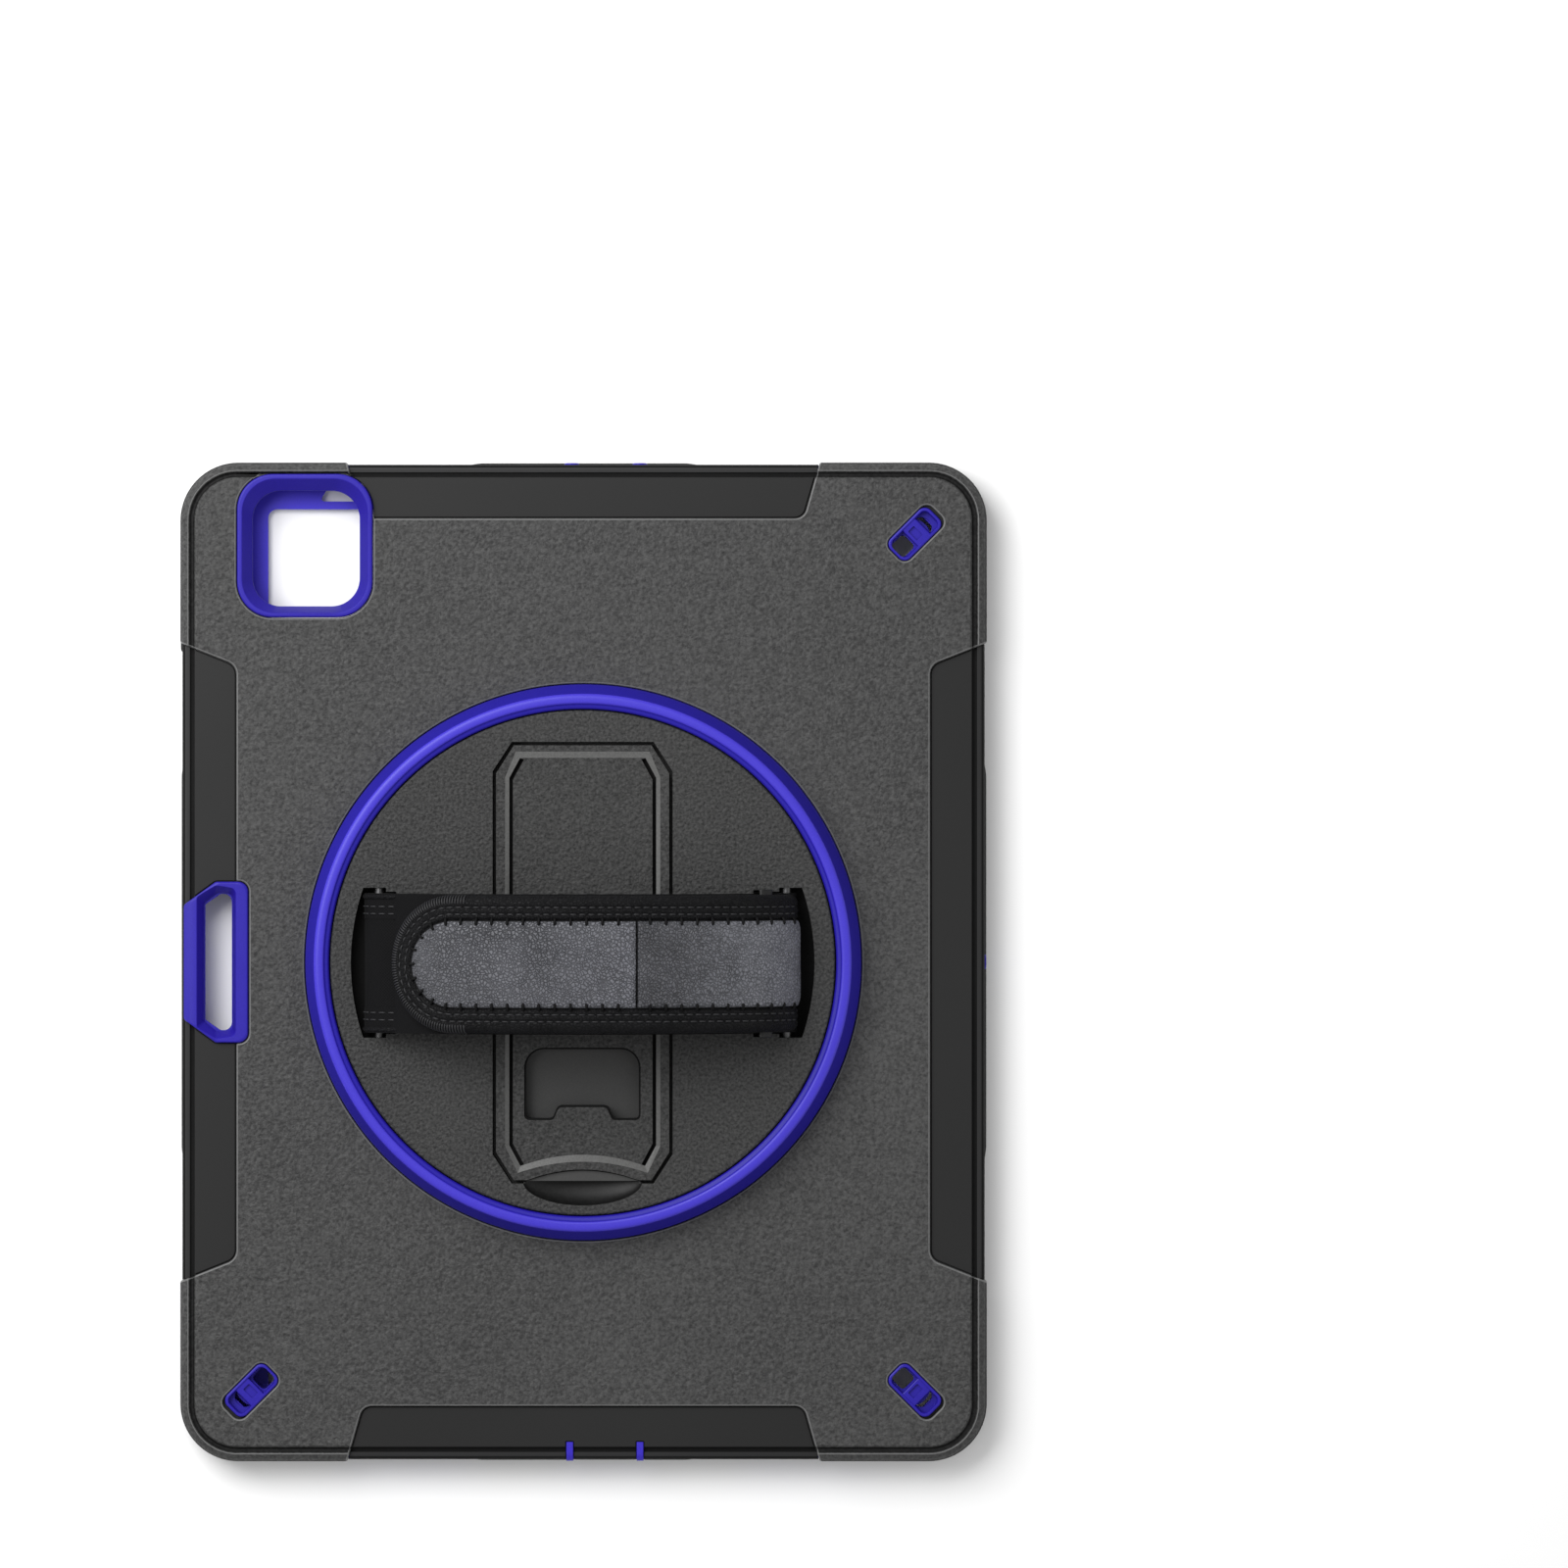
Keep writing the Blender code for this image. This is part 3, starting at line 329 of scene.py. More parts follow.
def moulded(name, dark, light, rough=(0.5, 0.6), grain=1.2, depth=0.05, strength=0.5, cell=False, spread=9.0, specular=0.5, coat=0.0, coat_rough=0.3, metallic=0.0):
    """Moulded plastic or rubber: a fine grain in height, a slow drift of tone and a little play in roughness.
    grain is the size of a grain and depth its height."""
    mat, tree, shader = nodes_of(name)
    place_ = tree.nodes.new("ShaderNodeTexCoord")
    slow = tree.nodes.new("ShaderNodeTexNoise")
    slow.inputs["Scale"].default_value = 1000 / (spread * 3)
    slow.inputs["Detail"].default_value = 4
    link(tree, place_, "Object", slow, "Vector")
    fine = tree.nodes.new("ShaderNodeTexNoise")
    fine.inputs["Scale"].default_value = 1000 / grain
    fine.inputs["Detail"].default_value = 3.0
    fine.inputs["Roughness"].default_value = 0.55
    fine.inputs["Distortion"].default_value = 0.35
    link(tree, place_, "Object", fine, "Vector")
    tone = tree.nodes.new("ShaderNodeMixRGB")
    tone.blend_type = "MIX"
    tone.inputs[0].default_value = 0.2
    link(tree, fine, "Fac", tone, 1)
    link(tree, slow, "Fac", tone, 2)
    colour = ramp(tree, dark, light, 0.36, 0.64)
    link(tree, tone, "Color", colour, "Fac")
    link(tree, colour, "Color", shader, "Base Color")
    gloss = ramp(tree, (rough[0],) * 3, (rough[1],) * 3, 0.35, 0.65)
    link(tree, slow, "Fac", gloss, "Fac")
    link(tree, gloss, "Color", shader, "Roughness")
    bump = tree.nodes.new("ShaderNodeBump")
    bump.inputs["Strength"].default_value = strength
    bump.inputs["Distance"].default_value = depth * MM
    if cell:
        pebbles = tree.nodes.new("ShaderNodeTexVoronoi")
        pebbles.feature = "SMOOTH_F1"
        pebbles.inputs["Scale"].default_value = 1000 / (grain * 1.25)
        pebbles.inputs["Smoothness"].default_value = 0.7
        bent = tree.nodes.new("ShaderNodeMixRGB")
        bent.inputs[0].default_value = 0.0012
        link(tree, place_, "Object", bent, 1)
        link(tree, fine, "Color", bent, 2)
        link(tree, bent, "Color", pebbles, "Vector")
        both = tree.nodes.new("ShaderNodeMixRGB")
        both.inputs[0].default_value = 0.5
        link(tree, pebbles, "Distance", both, 1)
        link(tree, fine, "Fac", both, 2)
        link(tree, both, "Color", bump, "Height")
    else:
        link(tree, fine, "Fac", bump, "Height")
    link(tree, bump, "Normal", shader, "Normal")
    shader.inputs["Metallic"].default_value = metallic
    shader.inputs["Specular IOR Level"].default_value = specular
    shader.inputs["Coat Weight"].default_value = coat
    shader.inputs["Coat Roughness"].default_value = coat_rough
    return mat


shell_mat = moulded("shell_pebble", (0.021, 0.021, 0.021), (0.058, 0.058, 0.0575), (0.56, 0.68), 0.95, 0.50, 1.0, cell=True, spread=22, specular=0.27)
# A lighter copy of the shell's grey for its rounded edges and the bead beside the valley: painted highlight.
shell_edge_painted_highlight = moulded("shell_edge_painted_highlight", (0.088, 0.088, 0.088), (0.115, 0.115, 0.115), (0.42, 0.52), 0.8, 0.03, 0.4, spread=6, specular=0.35)
disc_mat = moulded("disc_pebble", (0.012, 0.012, 0.012), (0.044, 0.044, 0.0435), (0.56, 0.68), 0.85, 0.50, 1.0, cell=True, spread=18, specular=0.25)
# A lighter copy of the disc's grey for edges: painted highlight.
disc_edge_painted_highlight = moulded("disc_edge_painted_highlight", (0.050, 0.050, 0.050), (0.070, 0.070, 0.070), (0.42, 0.52), 0.8, 0.03, 0.4, spread=6, specular=0.3)
skin_mat = moulded("skin_rubber", (0.0070, 0.0070, 0.0073), (0.0105, 0.0105, 0.011), (0.44, 0.54), 0.35, 0.02, 0.35, spread=14, specular=0.3)
panel_mat = moulded("skin_panel", (0.0070, 0.0070, 0.0070), (0.0100, 0.0100, 0.0100), (0.50, 0.58), 0.30, 0.02, 0.3, spread=26, specular=0.25)
BLUE_MAIN = ((0.028, 0.016, 0.36), (0.036, 0.022, 0.44))
front_mat = moulded("front_blue", (0.030, 0.018, 0.42), (0.037, 0.023, 0.49), (0.44, 0.52), 0.35, 0.02, 0.3, spread=20, specular=0.25)
inner_mat = moulded("inner_blue", *BLUE_MAIN, (0.42, 0.52), 0.4, 0.02, 0.3, spread=20, specular=0.22)
ring_mat = moulded("ring_blue", (0.036, 0.024, 0.40), (0.043, 0.030, 0.46), (0.34, 0.42), 0.3, 0.012, 0.25, spread=16, specular=0.3)
trim_mat = moulded("trim_blue", (0.016, 0.009, 0.24), (0.020, 0.012, 0.29), (0.36, 0.44), 0.3, 0.012, 0.25, spread=10, specular=0.2)
# A darker copy of the ring's blue for its steep outer wall and inner face: painted shade, as those faces turn away from
# the light.
ring_wall_painted_shade = moulded("ring_blue_wall_painted_shade", (0.012, 0.007, 0.24), (0.015, 0.009, 0.28), (0.36, 0.44), 0.3, 0.012, 0.25, spread=16, specular=0.2)
# A darker copy of the trims' blue for the walls inside their holes: painted shade.
trim_inner_painted_shade = moulded("trim_blue_inner_painted_shade", (0.014, 0.008, 0.21), (0.018, 0.010, 0.26), (0.38, 0.46), 0.3, 0.012, 0.25, spread=10, specular=0.18)
button_mat = moulded("button_rubber", (0.009, 0.009, 0.0095), (0.013, 0.013, 0.0135), (0.44, 0.52), 0.3, 0.02, 0.3, spread=5, specular=0.3)
# Near-black for deep slots, grooves and sides that lie in shadow: painted shade.
slot_painted_shade_mat = moulded("slot_painted_shade", (0.003, 0.003, 0.003), (0.005, 0.005, 0.005), (0.6, 0.7), 0.5, 0.03, 0.4, spread=8, specular=0.1)
smooth_mat = moulded("smooth_grey", (0.034, 0.034, 0.034), (0.043, 0.043, 0.042), (0.48, 0.56), 0.3, 0.015, 0.25, spread=20, specular=0.25)
# A darker black for the finger scoop's bowl: painted shade in the hollow.
scoop_painted_shade_mat = moulded("scoop_painted_shade", (0.0035, 0.0035, 0.0035), (0.007, 0.007, 0.007), (0.42, 0.52), 0.8, 0.05, 0.5, spread=10, specular=0.22)
# Near-black for the valley round the shell's edge and the outermost band of its side: painted shade.
valley_painted_shade_mat = moulded("shell_valley_painted_shade", (0.003, 0.003, 0.003), (0.010, 0.010, 0.010), (0.6, 0.7), 0.95, 0.2, 0.8, spread=18, specular=0.15)
# Near-black for the grooves, gaps and upright walls round the hinge cover and leg: partly its own dark colour, partly
# painted shade.
groove_painted_shade_mat = moulded("groove_painted_shade", (0.003, 0.003, 0.003), (0.005, 0.005, 0.005), (0.6, 0.7), 0.4, 0.02, 0.3, spread=8, specular=0.1)
# A lighter grey for the sloped chamfers round the sunk panels: painted highlight.
painted_highlight_chamfer_mat = moulded("chamfer_painted_highlight", (0.065, 0.065, 0.064), (0.090, 0.090, 0.088), (0.42, 0.50), 0.6, 0.02, 0.35, spread=8, specular=0.3)
steel_mat = moulded("steel_pin", (0.10, 0.10, 0.102), (0.15, 0.15, 0.152), (0.40, 0.50), 0.25, 0.01, 0.3, spread=3, metallic=1.0)
def along_arch(tree):
    """Distance along the strap's arch and across it, in millimetres, as two sockets."""
    place_ = tree.nodes.new("ShaderNodeTexCoord")
    parts = tree.nodes.new("ShaderNodeSeparateXYZ")
    link(tree, place_, "Object", parts, "Vector")

    def maths(kind, a, b=None, value=None):
        node = tree.nodes.new("ShaderNodeMath")
        node.operation = kind
        tree.links.new(a, node.inputs[0])
        if b is not None:
            tree.links.new(b, node.inputs[1])
        elif value is not None:
            node.inputs[1].default_value = value
        return node.outputs[0]

    up = maths("MULTIPLY", maths("SUBTRACT", parts.outputs["Z"], value=ARCH_Z * MM), value=ARCH_A / ARCH_H)
    run = maths("MULTIPLY", maths("ARCTAN2", up, parts.outputs["X"]), value=45.0)
    across = maths("MULTIPLY", parts.outputs["Y"], value=1000.0)
    return place_, run, across, maths


def woven(name, dark, light, pitch=0.9, rough=(0.75, 0.9), depth=0.12):
    mat, tree, shader = nodes_of(name)
    place_, run, across, maths = along_arch(tree)
    a = maths("SINE", maths("MULTIPLY", run, value=math.tau / pitch))
    b = maths("SINE", maths("MULTIPLY", across, value=math.tau / pitch))
    weave = maths("MULTIPLY", a, b)
    weave = maths("ADD", maths("MULTIPLY", weave, value=0.5), value=0.5)
    fuzz = tree.nodes.new("ShaderNodeTexNoise")
    fuzz.inputs["Scale"].default_value = 2600
    fuzz.inputs["Detail"].default_value = 3
    link(tree, place_, "Object", fuzz, "Vector")
    slow = tree.nodes.new("ShaderNodeTexNoise")
    slow.inputs["Scale"].default_value = 90
    slow.inputs["Detail"].default_value = 3
    link(tree, place_, "Object", slow, "Vector")
    total = maths("ADD", maths("MULTIPLY", weave, value=0.55), maths("MULTIPLY", fuzz.outputs["Fac"], value=0.45))
    tone = maths("ADD", maths("MULTIPLY", total, value=0.6), maths("MULTIPLY", slow.outputs["Fac"], value=0.4))
    colour = ramp(tree, dark, light, 0.3, 0.7)
    tree.links.new(tone, colour.inputs["Fac"])
    link(tree, colour, "Color", shader, "Base Color")
    gloss = ramp(tree, (rough[0],) * 3, (rough[1],) * 3)
    link(tree, slow, "Fac", gloss, "Fac")
    link(tree, gloss, "Color", shader, "Roughness")
    bump = tree.nodes.new("ShaderNodeBump")
    bump.inputs["Strength"].default_value = 0.7
    bump.inputs["Distance"].default_value = depth * MM
    tree.links.new(total, bump.inputs["Height"])
    link(tree, bump, "Normal", shader, "Normal")
    shader.inputs["Specular IOR Level"].default_value = 0.10
    shader.inputs["Sheen Weight"].default_value = 0.01
    shader.inputs["Sheen Roughness"].default_value = 0.5
    return mat


def leather(name, dark, light, rough=(0.42, 0.56), grain=0.85, depth=0.16, specular=0.45, coarse=(0.30, 0.70), shade=None):
    """Leather: pebbles parted by creases, with finer pores inside them and a slow change of tone.
    The shade argument holds (X in millimetres, factor) stops of painted light and shade along the strap, lighter where
    the arch's slopes face the lamps."""
    mat, tree, shader = nodes_of(name)
    place_, run, across, maths = along_arch(tree)
    wander = tree.nodes.new("ShaderNodeTexNoise")
    wander.inputs["Scale"].default_value = 500
    wander.inputs["Detail"].default_value = 2
    link(tree, place_, "Object", wander, "Vector")
    bent = tree.nodes.new("ShaderNodeMixRGB")
    bent.inputs[0].default_value = 0.0016
    link(tree, place_, "Object", bent, 1)
    link(tree, wander, "Color", bent, 2)
    cells = tree.nodes.new("ShaderNodeTexVoronoi")
    cells.feature = "DISTANCE_TO_EDGE"
    cells.inputs["Scale"].default_value = 1000 / grain
    link(tree, bent, "Color", cells, "Vector")
    crease = tree.nodes.new("ShaderNodeMapRange")
    crease.inputs["From Max"].default_value = 0.22
    link(tree, cells, "Distance", crease, "Value")
    pores = tree.nodes.new("ShaderNodeTexNoise")
    pores.inputs["Scale"].default_value = 3200
    pores.inputs["Detail"].default_value = 3
    link(tree, place_, "Object", pores, "Vector")
    slow = tree.nodes.new("ShaderNodeTexNoise")
    slow.inputs["Scale"].default_value = 75
    slow.inputs["Detail"].default_value = 5
    slow.inputs["Roughness"].default_value = 0.6
    link(tree, place_, "Object", slow, "Vector")
    height = maths("ADD", maths("MULTIPLY", crease.outputs["Result"], value=0.7), maths("MULTIPLY", pores.outputs["Fac"], value=0.3))
    tone = maths("ADD", maths("MULTIPLY", height, value=0.45), maths("MULTIPLY", slow.outputs["Fac"], value=0.55))
    colour = ramp(tree, dark, light, *coarse)
    tree.links.new(tone, colour.inputs["Fac"])
    # Painted light and shade: a ramp along X makes the leather's colour lighter and darker.
    if shade:
        parts = tree.nodes.new("ShaderNodeSeparateXYZ")
        link(tree, place_, "Object", parts, "Vector")
        spot = maths("ADD", maths("MULTIPLY", parts.outputs["X"], value=1000 / 140), value=0.5)
        painted_shading_ramp = ramp(tree, (shade[0][1],) * 3, (shade[-1][1],) * 3, shade[0][0] / 140 + 0.5, shade[-1][0] / 140 + 0.5)
        for x, factor in shade[1:-1]:
            stop = painted_shading_ramp.color_ramp.elements.new(x / 140 + 0.5)
            stop.color = (factor, factor, factor, 1)
        tree.links.new(spot, painted_shading_ramp.inputs["Fac"])
        painted_shading_mix = tree.nodes.new("ShaderNodeMixRGB")
        painted_shading_mix.blend_type = "MULTIPLY"
        painted_shading_mix.inputs[0].default_value = 1.0
        link(tree, colour, "Color", painted_shading_mix, 1)
        link(tree, painted_shading_ramp, "Color", painted_shading_mix, 2)
        link(tree, painted_shading_mix, "Color", shader, "Base Color")
    else:
        link(tree, colour, "Color", shader, "Base Color")
    gloss = ramp(tree, (rough[1],) * 3, (rough[0],) * 3, 0.2, 0.8)
    tree.links.new(height, gloss.inputs["Fac"])
    link(tree, gloss, "Color", shader, "Roughness")
    bump = tree.nodes.new("ShaderNodeBump")
    bump.inputs["Strength"].default_value = 0.75
    bump.inputs["Distance"].default_value = depth * MM
    tree.links.new(height, bump.inputs["Height"])
    link(tree, bump, "Normal", shader, "Normal")
    shader.inputs["Specular IOR Level"].default_value = specular
    shader.inputs["Sheen Weight"].default_value = 0.01
    return mat


band_mat = woven("strap_webbing", (0.0010, 0.0010, 0.0012), (0.0050, 0.0050, 0.0055), 0.9)
border_mat = leather("pad_border_leather", (0.0005, 0.0005, 0.0007), (0.0050, 0.0050, 0.0057), (0.48, 0.62), 0.9, 0.26, 0.10)
# The shade stops paint light and shade along the strap: darker at the left end and just right of the cross seam,
# lighter towards the right end.
inlay_painted_shading_mat = leather("pad_inlay_leather_painted_shading", (0.028, 0.029, 0.035), (0.160, 0.163, 0.185), (0.40, 0.54), 0.95, 0.36, 0.38, shade=((-54, 0.34), (-40, 0.51), (-12, 0.56), (8, 0.69), (15.6, 0.88), (16.6, 0.36), (30, 0.44), (46, 0.76), (57, 1.0), (62, 1.0)))
dark_thread_mat = moulded("thread_dark", (0.0015, 0.0015, 0.0016), (0.004, 0.004, 0.0044), (0.6, 0.7), 0.25, 0.03, 0.5, spread=3, specular=0.12)
thread_mat = moulded("thread_black", (0.009, 0.009, 0.010), (0.018, 0.018, 0.020), (0.5, 0.6), 0.25, 0.03, 0.5, spread=3, specular=0.35)
slide_mat = moulded("slide_plastic", (0.50, 0.50, 0.48), (0.58, 0.58, 0.56), (0.34, 0.44), 0.5, 0.02, 0.3, spread=8)
keeper_mat = moulded("keeper_black", (0.006, 0.006, 0.006), (0.010, 0.010, 0.010), (0.34, 0.44), 0.4, 0.02, 0.3, spread=5, specular=0.25)

# ================================================================ shared shapes
def side_cut(sign, shrink=0.0, out=12.0, r=4.0, steps=10):
    edge_x = HALF_X + out
    slope = (SIDE_CUT_EDGE - SIDE_CUT_IN) / (HALF_X - SIDE_CUT_X)
    edge_y = SIDE_CUT_EDGE + slope * out - shrink
    inner, half = SIDE_CUT_X + shrink, SIDE_CUT_IN - shrink
    points = rounded([(edge_x, -edge_y, 0, 1), (edge_x, edge_y, 0, 1), (inner, half, r - shrink, steps), (inner, -half, r - shrink, steps)])
    return [(sign * x, y) for x, y in points]


def end_cut(sign, shrink=0.0, out=12.0, r=3.5, steps=10):
    edge_y = HALF_Y + out
    slope = (END_CUT_EDGE - END_CUT_IN) / (HALF_Y - END_CUT_Y)
    edge_x = END_CUT_EDGE + slope * out - shrink
    inner, half = END_CUT_Y + shrink, END_CUT_IN - shrink
    points = rounded([(-edge_x, edge_y, 0, 1), (edge_x, edge_y, 0, 1), (half, inner, r - shrink, steps), (-half, inner, r - shrink, steps)])
    return [(x, sign * y) for x, y in points]


def cut_prisms(shrink, low, high):
    found = [prism(side_cut(s, shrink), low, high) for s in (1, -1)]
    return found + [prism(end_cut(s, shrink), low, high) for s in (1, -1)]


def camera_outline(grow, steps=14):
    x0, x1, y0, y1, r = CAMERA
    return rect(x0 - grow, x1 + grow, y0 - grow, y1 + grow, r + grow, steps)


def stylus_outline(grow, steps=6):
    x0, x1, y0, y1 = STYLUS_TRIM
    x0, x1, y0, y1 = x0 - grow, x1 + grow, y0 - grow, y1 + grow
    return rounded([
        (x0 + 9.4, y0, 1.6, steps), (x1, y0, 3.0, steps), (x1, y1, 3.0, steps), (x0 + 9.4, y1, 1.6, steps),
        (x0, y1 - 6.8, 1.6, steps), (x0, y0 + 6.8, 1.6, steps),
    ])


def stylus_neck(grow):
    """The part that goes down through the shell, with its outer corners cut off."""
    x0, x1, y0, y1 = STYLUS_NECK
    return rounded([
        (x0 - grow, y0 + 2.6 - grow * 0.5, 1.0, 5), (x0 + 3.3 - grow * 0.5, y0 - grow, 1.0, 5), (x1 + grow, y0 - grow, 1.7, 6),
        (x1 + grow, y1 + grow, 1.7, 6), (x0 + 3.3 - grow * 0.5, y1 + grow, 1.0, 5), (x0 - grow, y1 - 2.6 + grow * 0.5, 1.0, 5),
    ])


def anchor_angle(x, y):
    return math.degrees(math.atan2(math.copysign(1, y), math.copysign(1, x)))


def anchor_outline(x, y, grow, steps=10):
    half_l, half_w = ANCHOR_L / 2 + grow, ANCHOR_W / 2 + grow
    return moved(rect(-half_l, half_l, -half_w, half_w, max(ANCHOR_R + grow, 0.5), steps), x, y, anchor_angle(x, y))


def octagon(grow, low_y=-LEG_Y, high_y=LEG_Y):
    x, k = LEG_X + grow, grow * 0.41
    top, low = high_y + grow, low_y - grow
    points = []
    if low_y <= -LEG_Y + 1:
        points += [(-x, low + LEG_CUT_Y + k), (-x + LEG_CUT_X + k, low), (x - LEG_CUT_X - k, low), (x, low + LEG_CUT_Y + k)]
    else:
        points += [(-x, low_y), (x, low_y)]
    if high_y >= LEG_Y - 1:
        points += [(x, top - LEG_CUT_Y - k), (x - LEG_CUT_X - k, top), (-x + LEG_CUT_X + k, top), (-x, top - LEG_CUT_Y - k)]
    else:
        points += [(x, high_y), (-x, high_y)]
    return points


def slot_outline(sign, grow, steps=24):
    r, half, inner = SLOT_ARC_R + grow, SLOT_HALF + grow, SLOT_IN - grow
    end = math.asin(half / r)
    arc = [(r * math.cos(-end + 2 * end * k / steps), r * math.sin(-end + 2 * end * k / steps)) for k in range(steps + 1)]
    return [(sign * x, y) for x, y in [(inner, half), (inner, -half), *arc]]


def slot_plan(sign):
    """The slot as it opens in the disc's face: its inner corners stop short, beside the strap."""
    outer = slot_outline(sign, 0)[2:]
    return [(sign * SLOT_IN, 20.75), (sign * SLOT_IN, -20.75), (sign * 57.4, -20.75), (sign * 57.4, -SLOT_HALF)] + outer + [(sign * 57.4, SLOT_HALF), (sign * 57.4, 20.75)]


def window(grow, steps=8):
    x0, x1, y0, y1 = WINDOW
    return rect(x0 - grow, x1 + grow, y0 - grow, y1 + grow, 2.6 + max(grow, 0), steps)


def arch(t, out):
    x, z = ARCH_A * math.cos(t), ARCH_Z + ARCH_H * math.sin(t)
    normal = Vector((ARCH_H * math.cos(t), ARCH_A * math.sin(t))).normalized()
    return x + normal.x * out, z + normal.y * out


# ================================================================ back shell
shell_levels = [
    (1.25, 3.0), (0.7, 3.12), (0.35, 3.4), (0.12, 3.9), (0.0, 4.7), (0.0, 9.0), (0.06, 9.9), (0.22, 10.8), (0.5, 11.6),
    (0.9, 12.3), (1.4, 12.85), (1.95, 13.25), (2.35, 13.42), (2.6, 13.38), (2.85, 13.2), (3.05, 12.95), (3.25, 12.72), (3.5, 12.58), (3.8, 12.55),
    (4.05, 12.66), (4.25, 12.9), (4.4, 13.2), (4.6, 13.5), (4.85, 13.7), (5.2, Z_BACK),
]
rear_shell = make("rear_shell_body", stack([(outline(o), z) for o, z in shell_levels]), shell_mat, shell_edge_painted_highlight, valley_painted_shade_mat)
cut(rear_shell, prism(outline(1.65), 1, Z_SHELL_LOW), *cut_prisms(0.0, 0, 30))
cut(rear_shell, drum(0, 0, RING_OUT + 0.25, 5, 20, 200), prism(camera_outline(0.2), 5, 20), prism(stylus_outline(0.2), 5, 20))
for x, y in ANCHORS:
    turn = anchor_angle(x, y)
    cut(rear_shell, prism(moved(rect(-ANCHOR_L / 2 - 0.2, ANCHOR_L / 2 + 0.95, -ANCHOR_W / 2 - 0.2, ANCHOR_W / 2 + 0.2, 2.6, 10), x, y, turn), 5, 20))
cut(rear_shell, prism([(POWER_X + u, PORT_Z + v) for u, v in rect(-6.8, 6.8, -2.3, 2.3, 1.5, 6)], 143, 150, "Y"))
for x, sign in SPEAKERS:
    cut(rear_shell, prism([(x + u, PORT_Z + v) for u, v in rect(-20.3, 20.3, -2.2, 2.2, 1.0, 5)], min(sign * 143, sign * 150), max(sign * 143, sign * 150), "Y"))
for y in VOLUME_Y:
    cut(rear_shell, prism([(y + u, PORT_Z + v) for u, v in rect(-6.3, 6.3, -2.3, 2.3, 1.5, 6)], -122, -115, "X"))
# Painted shade: the valley near the edge and the outermost band of the side take the near-black valley material.
for face in rear_shell.data.polygons:
    x, y, z = (v / MM for v in face.center)
    d = inset(x, y)
    if (2.9 < d < 4.45 and z > 12.4) or (0.05 < d < 0.6 and z > 9.9):
        face.material_index = 2
    # Painted highlight: the bead strip beside the valley takes the lighter edge grey.
    elif 2.3 < d < 2.7 and z > 12:
        face.material_index = 1
# The rounded edges take the lighter edge grey (slot 1) as a painted highlight.
soften(rear_shell, 0.5, 3, 50, edge_slot=1, clamp=False)
place(rear_shell, "case", "rear_shell")

# ================================================================ rubber skin
skin_levels = [
    (2.2, 0.0), (1.6, 0.22), (1.15, 0.7), (0.85, 1.35), (0.68, 2.1), (0.65, 2.6), (0.65, 5.15), (0.78, 5.4), (1.4, 5.7), (1.5, 5.95),
    (1.5, 6.45), (1.4, 6.7), (0.78, 7.0), (0.65, 7.25), (0.65, 9.8), (0.72, 10.5), (0.92, 11.1), (1.2, 11.6), (1.6, 11.86), (2.0, 11.9),
]
bumper = make("bumper_skin_body", stack([(outline(o), z) for o, z in skin_levels]), skin_mat, panel_mat, slot_painted_shade_mat)
cut(bumper, stack([(outline(o), z) for o, z in ((2.9, -1.0), (2.9, -0.02), (3.15, 0.12), (3.5, 0.45), (3.75, 0.85), (3.9, 1.6), (2.4, 2.5), (2.4, 10.7))]))


def bump_points(half, depth):
    """A long low rib's plan, faded in at both ends."""
    found = []
    for k in range(13):
        u = k / 12
        found.append((-half + 6 * u, depth * (0.5 - 0.5 * math.cos(math.pi * u))))
    return found + [(-u, d) for u, d in reversed(found)]


for sign in (1, -1):
    run = bump_points(60.0, 0.62)
    levels = []
    for z, share in ((2.1, 0.0), (2.25, 0.55), (2.6, 0.92), (3.1, 1.0), (4.2, 1.0), (4.65, 0.92), (4.95, 0.55), (5.1, 0.0)):
        levels.append(([(sign * (HALF_X - 0.66 + d * share), u) for u, d in run] + [(sign * (HALF_X - 2.2), 58.0), (sign * (HALF_X - 2.2), -58.0)], z))
    join(bumper, stack(levels))
    run = bump_points(35.5, 0.62)
    levels = []
    for z, share in ((2.1, 0.0), (2.25, 0.55), (2.6, 0.92), (3.1, 1.0), (4.2, 1.0), (4.65, 0.92), (4.95, 0.55), (5.1, 0.0)):
        levels.append(([(u, sign * (HALF_Y - 0.66 + d * share)) for u, d in run] + [(34.0, sign * (HALF_Y - 2.2)), (-34.0, sign * (HALF_Y - 2.2))], z))
    join(bumper, stack(levels))
cut(
    bumper,
    loop([(outline(o), z) for o, z in ((2.95, 14.0), (2.95, 11.7), (3.05, 11.4), (3.3, 11.3), (4.0, 11.3), (4.25, 11.4), (4.35, 11.7), (4.35, 14.0))]),
)
wraps = make("wraps", loop([(outline(o), z) for o, z in ((-6, 2.7), (1.95, 2.7), (1.95, 14), (-6, 14))]))
cut(wraps, *cut_prisms(0.2, 0, 30))
cut(bumper, as_bm(wraps))
cut(
    bumper,
    drum(0, 0, RING_OUT + 0.25, 5, 20, 200),
    prism(camera_outline(0.2), 5, 20),
    prism(stylus_neck(0.25), 5, 20),
)
for x, y in ANCHORS:
    cut(bumper, prism(anchor_outline(x, y, 0.2), 5, 20))
for x, sign in SPEAKERS:
    cut(bumper, prism([(x + u, PORT_Z + v) for u, v in rect(-20.3, 20.3, -2.2, 2.2, 1.0, 5)], min(sign * 143, sign * 150), max(sign * 143, sign * 150), "Y"))
for x, y, axis in MICS:
    cut(bumper, drum(x, PORT_Z, 2.45, 143, 150, 32, "Y") if axis == "Y" else drum(y, PORT_Z, 2.45, 114, 122, 32, "X"))
cut(bumper, prism([(POWER_X + u, PORT_Z + v) for u, v in rect(-6.8, 6.8, -2.3, 2.3, 1.5, 6)], 143, 150, "Y"))
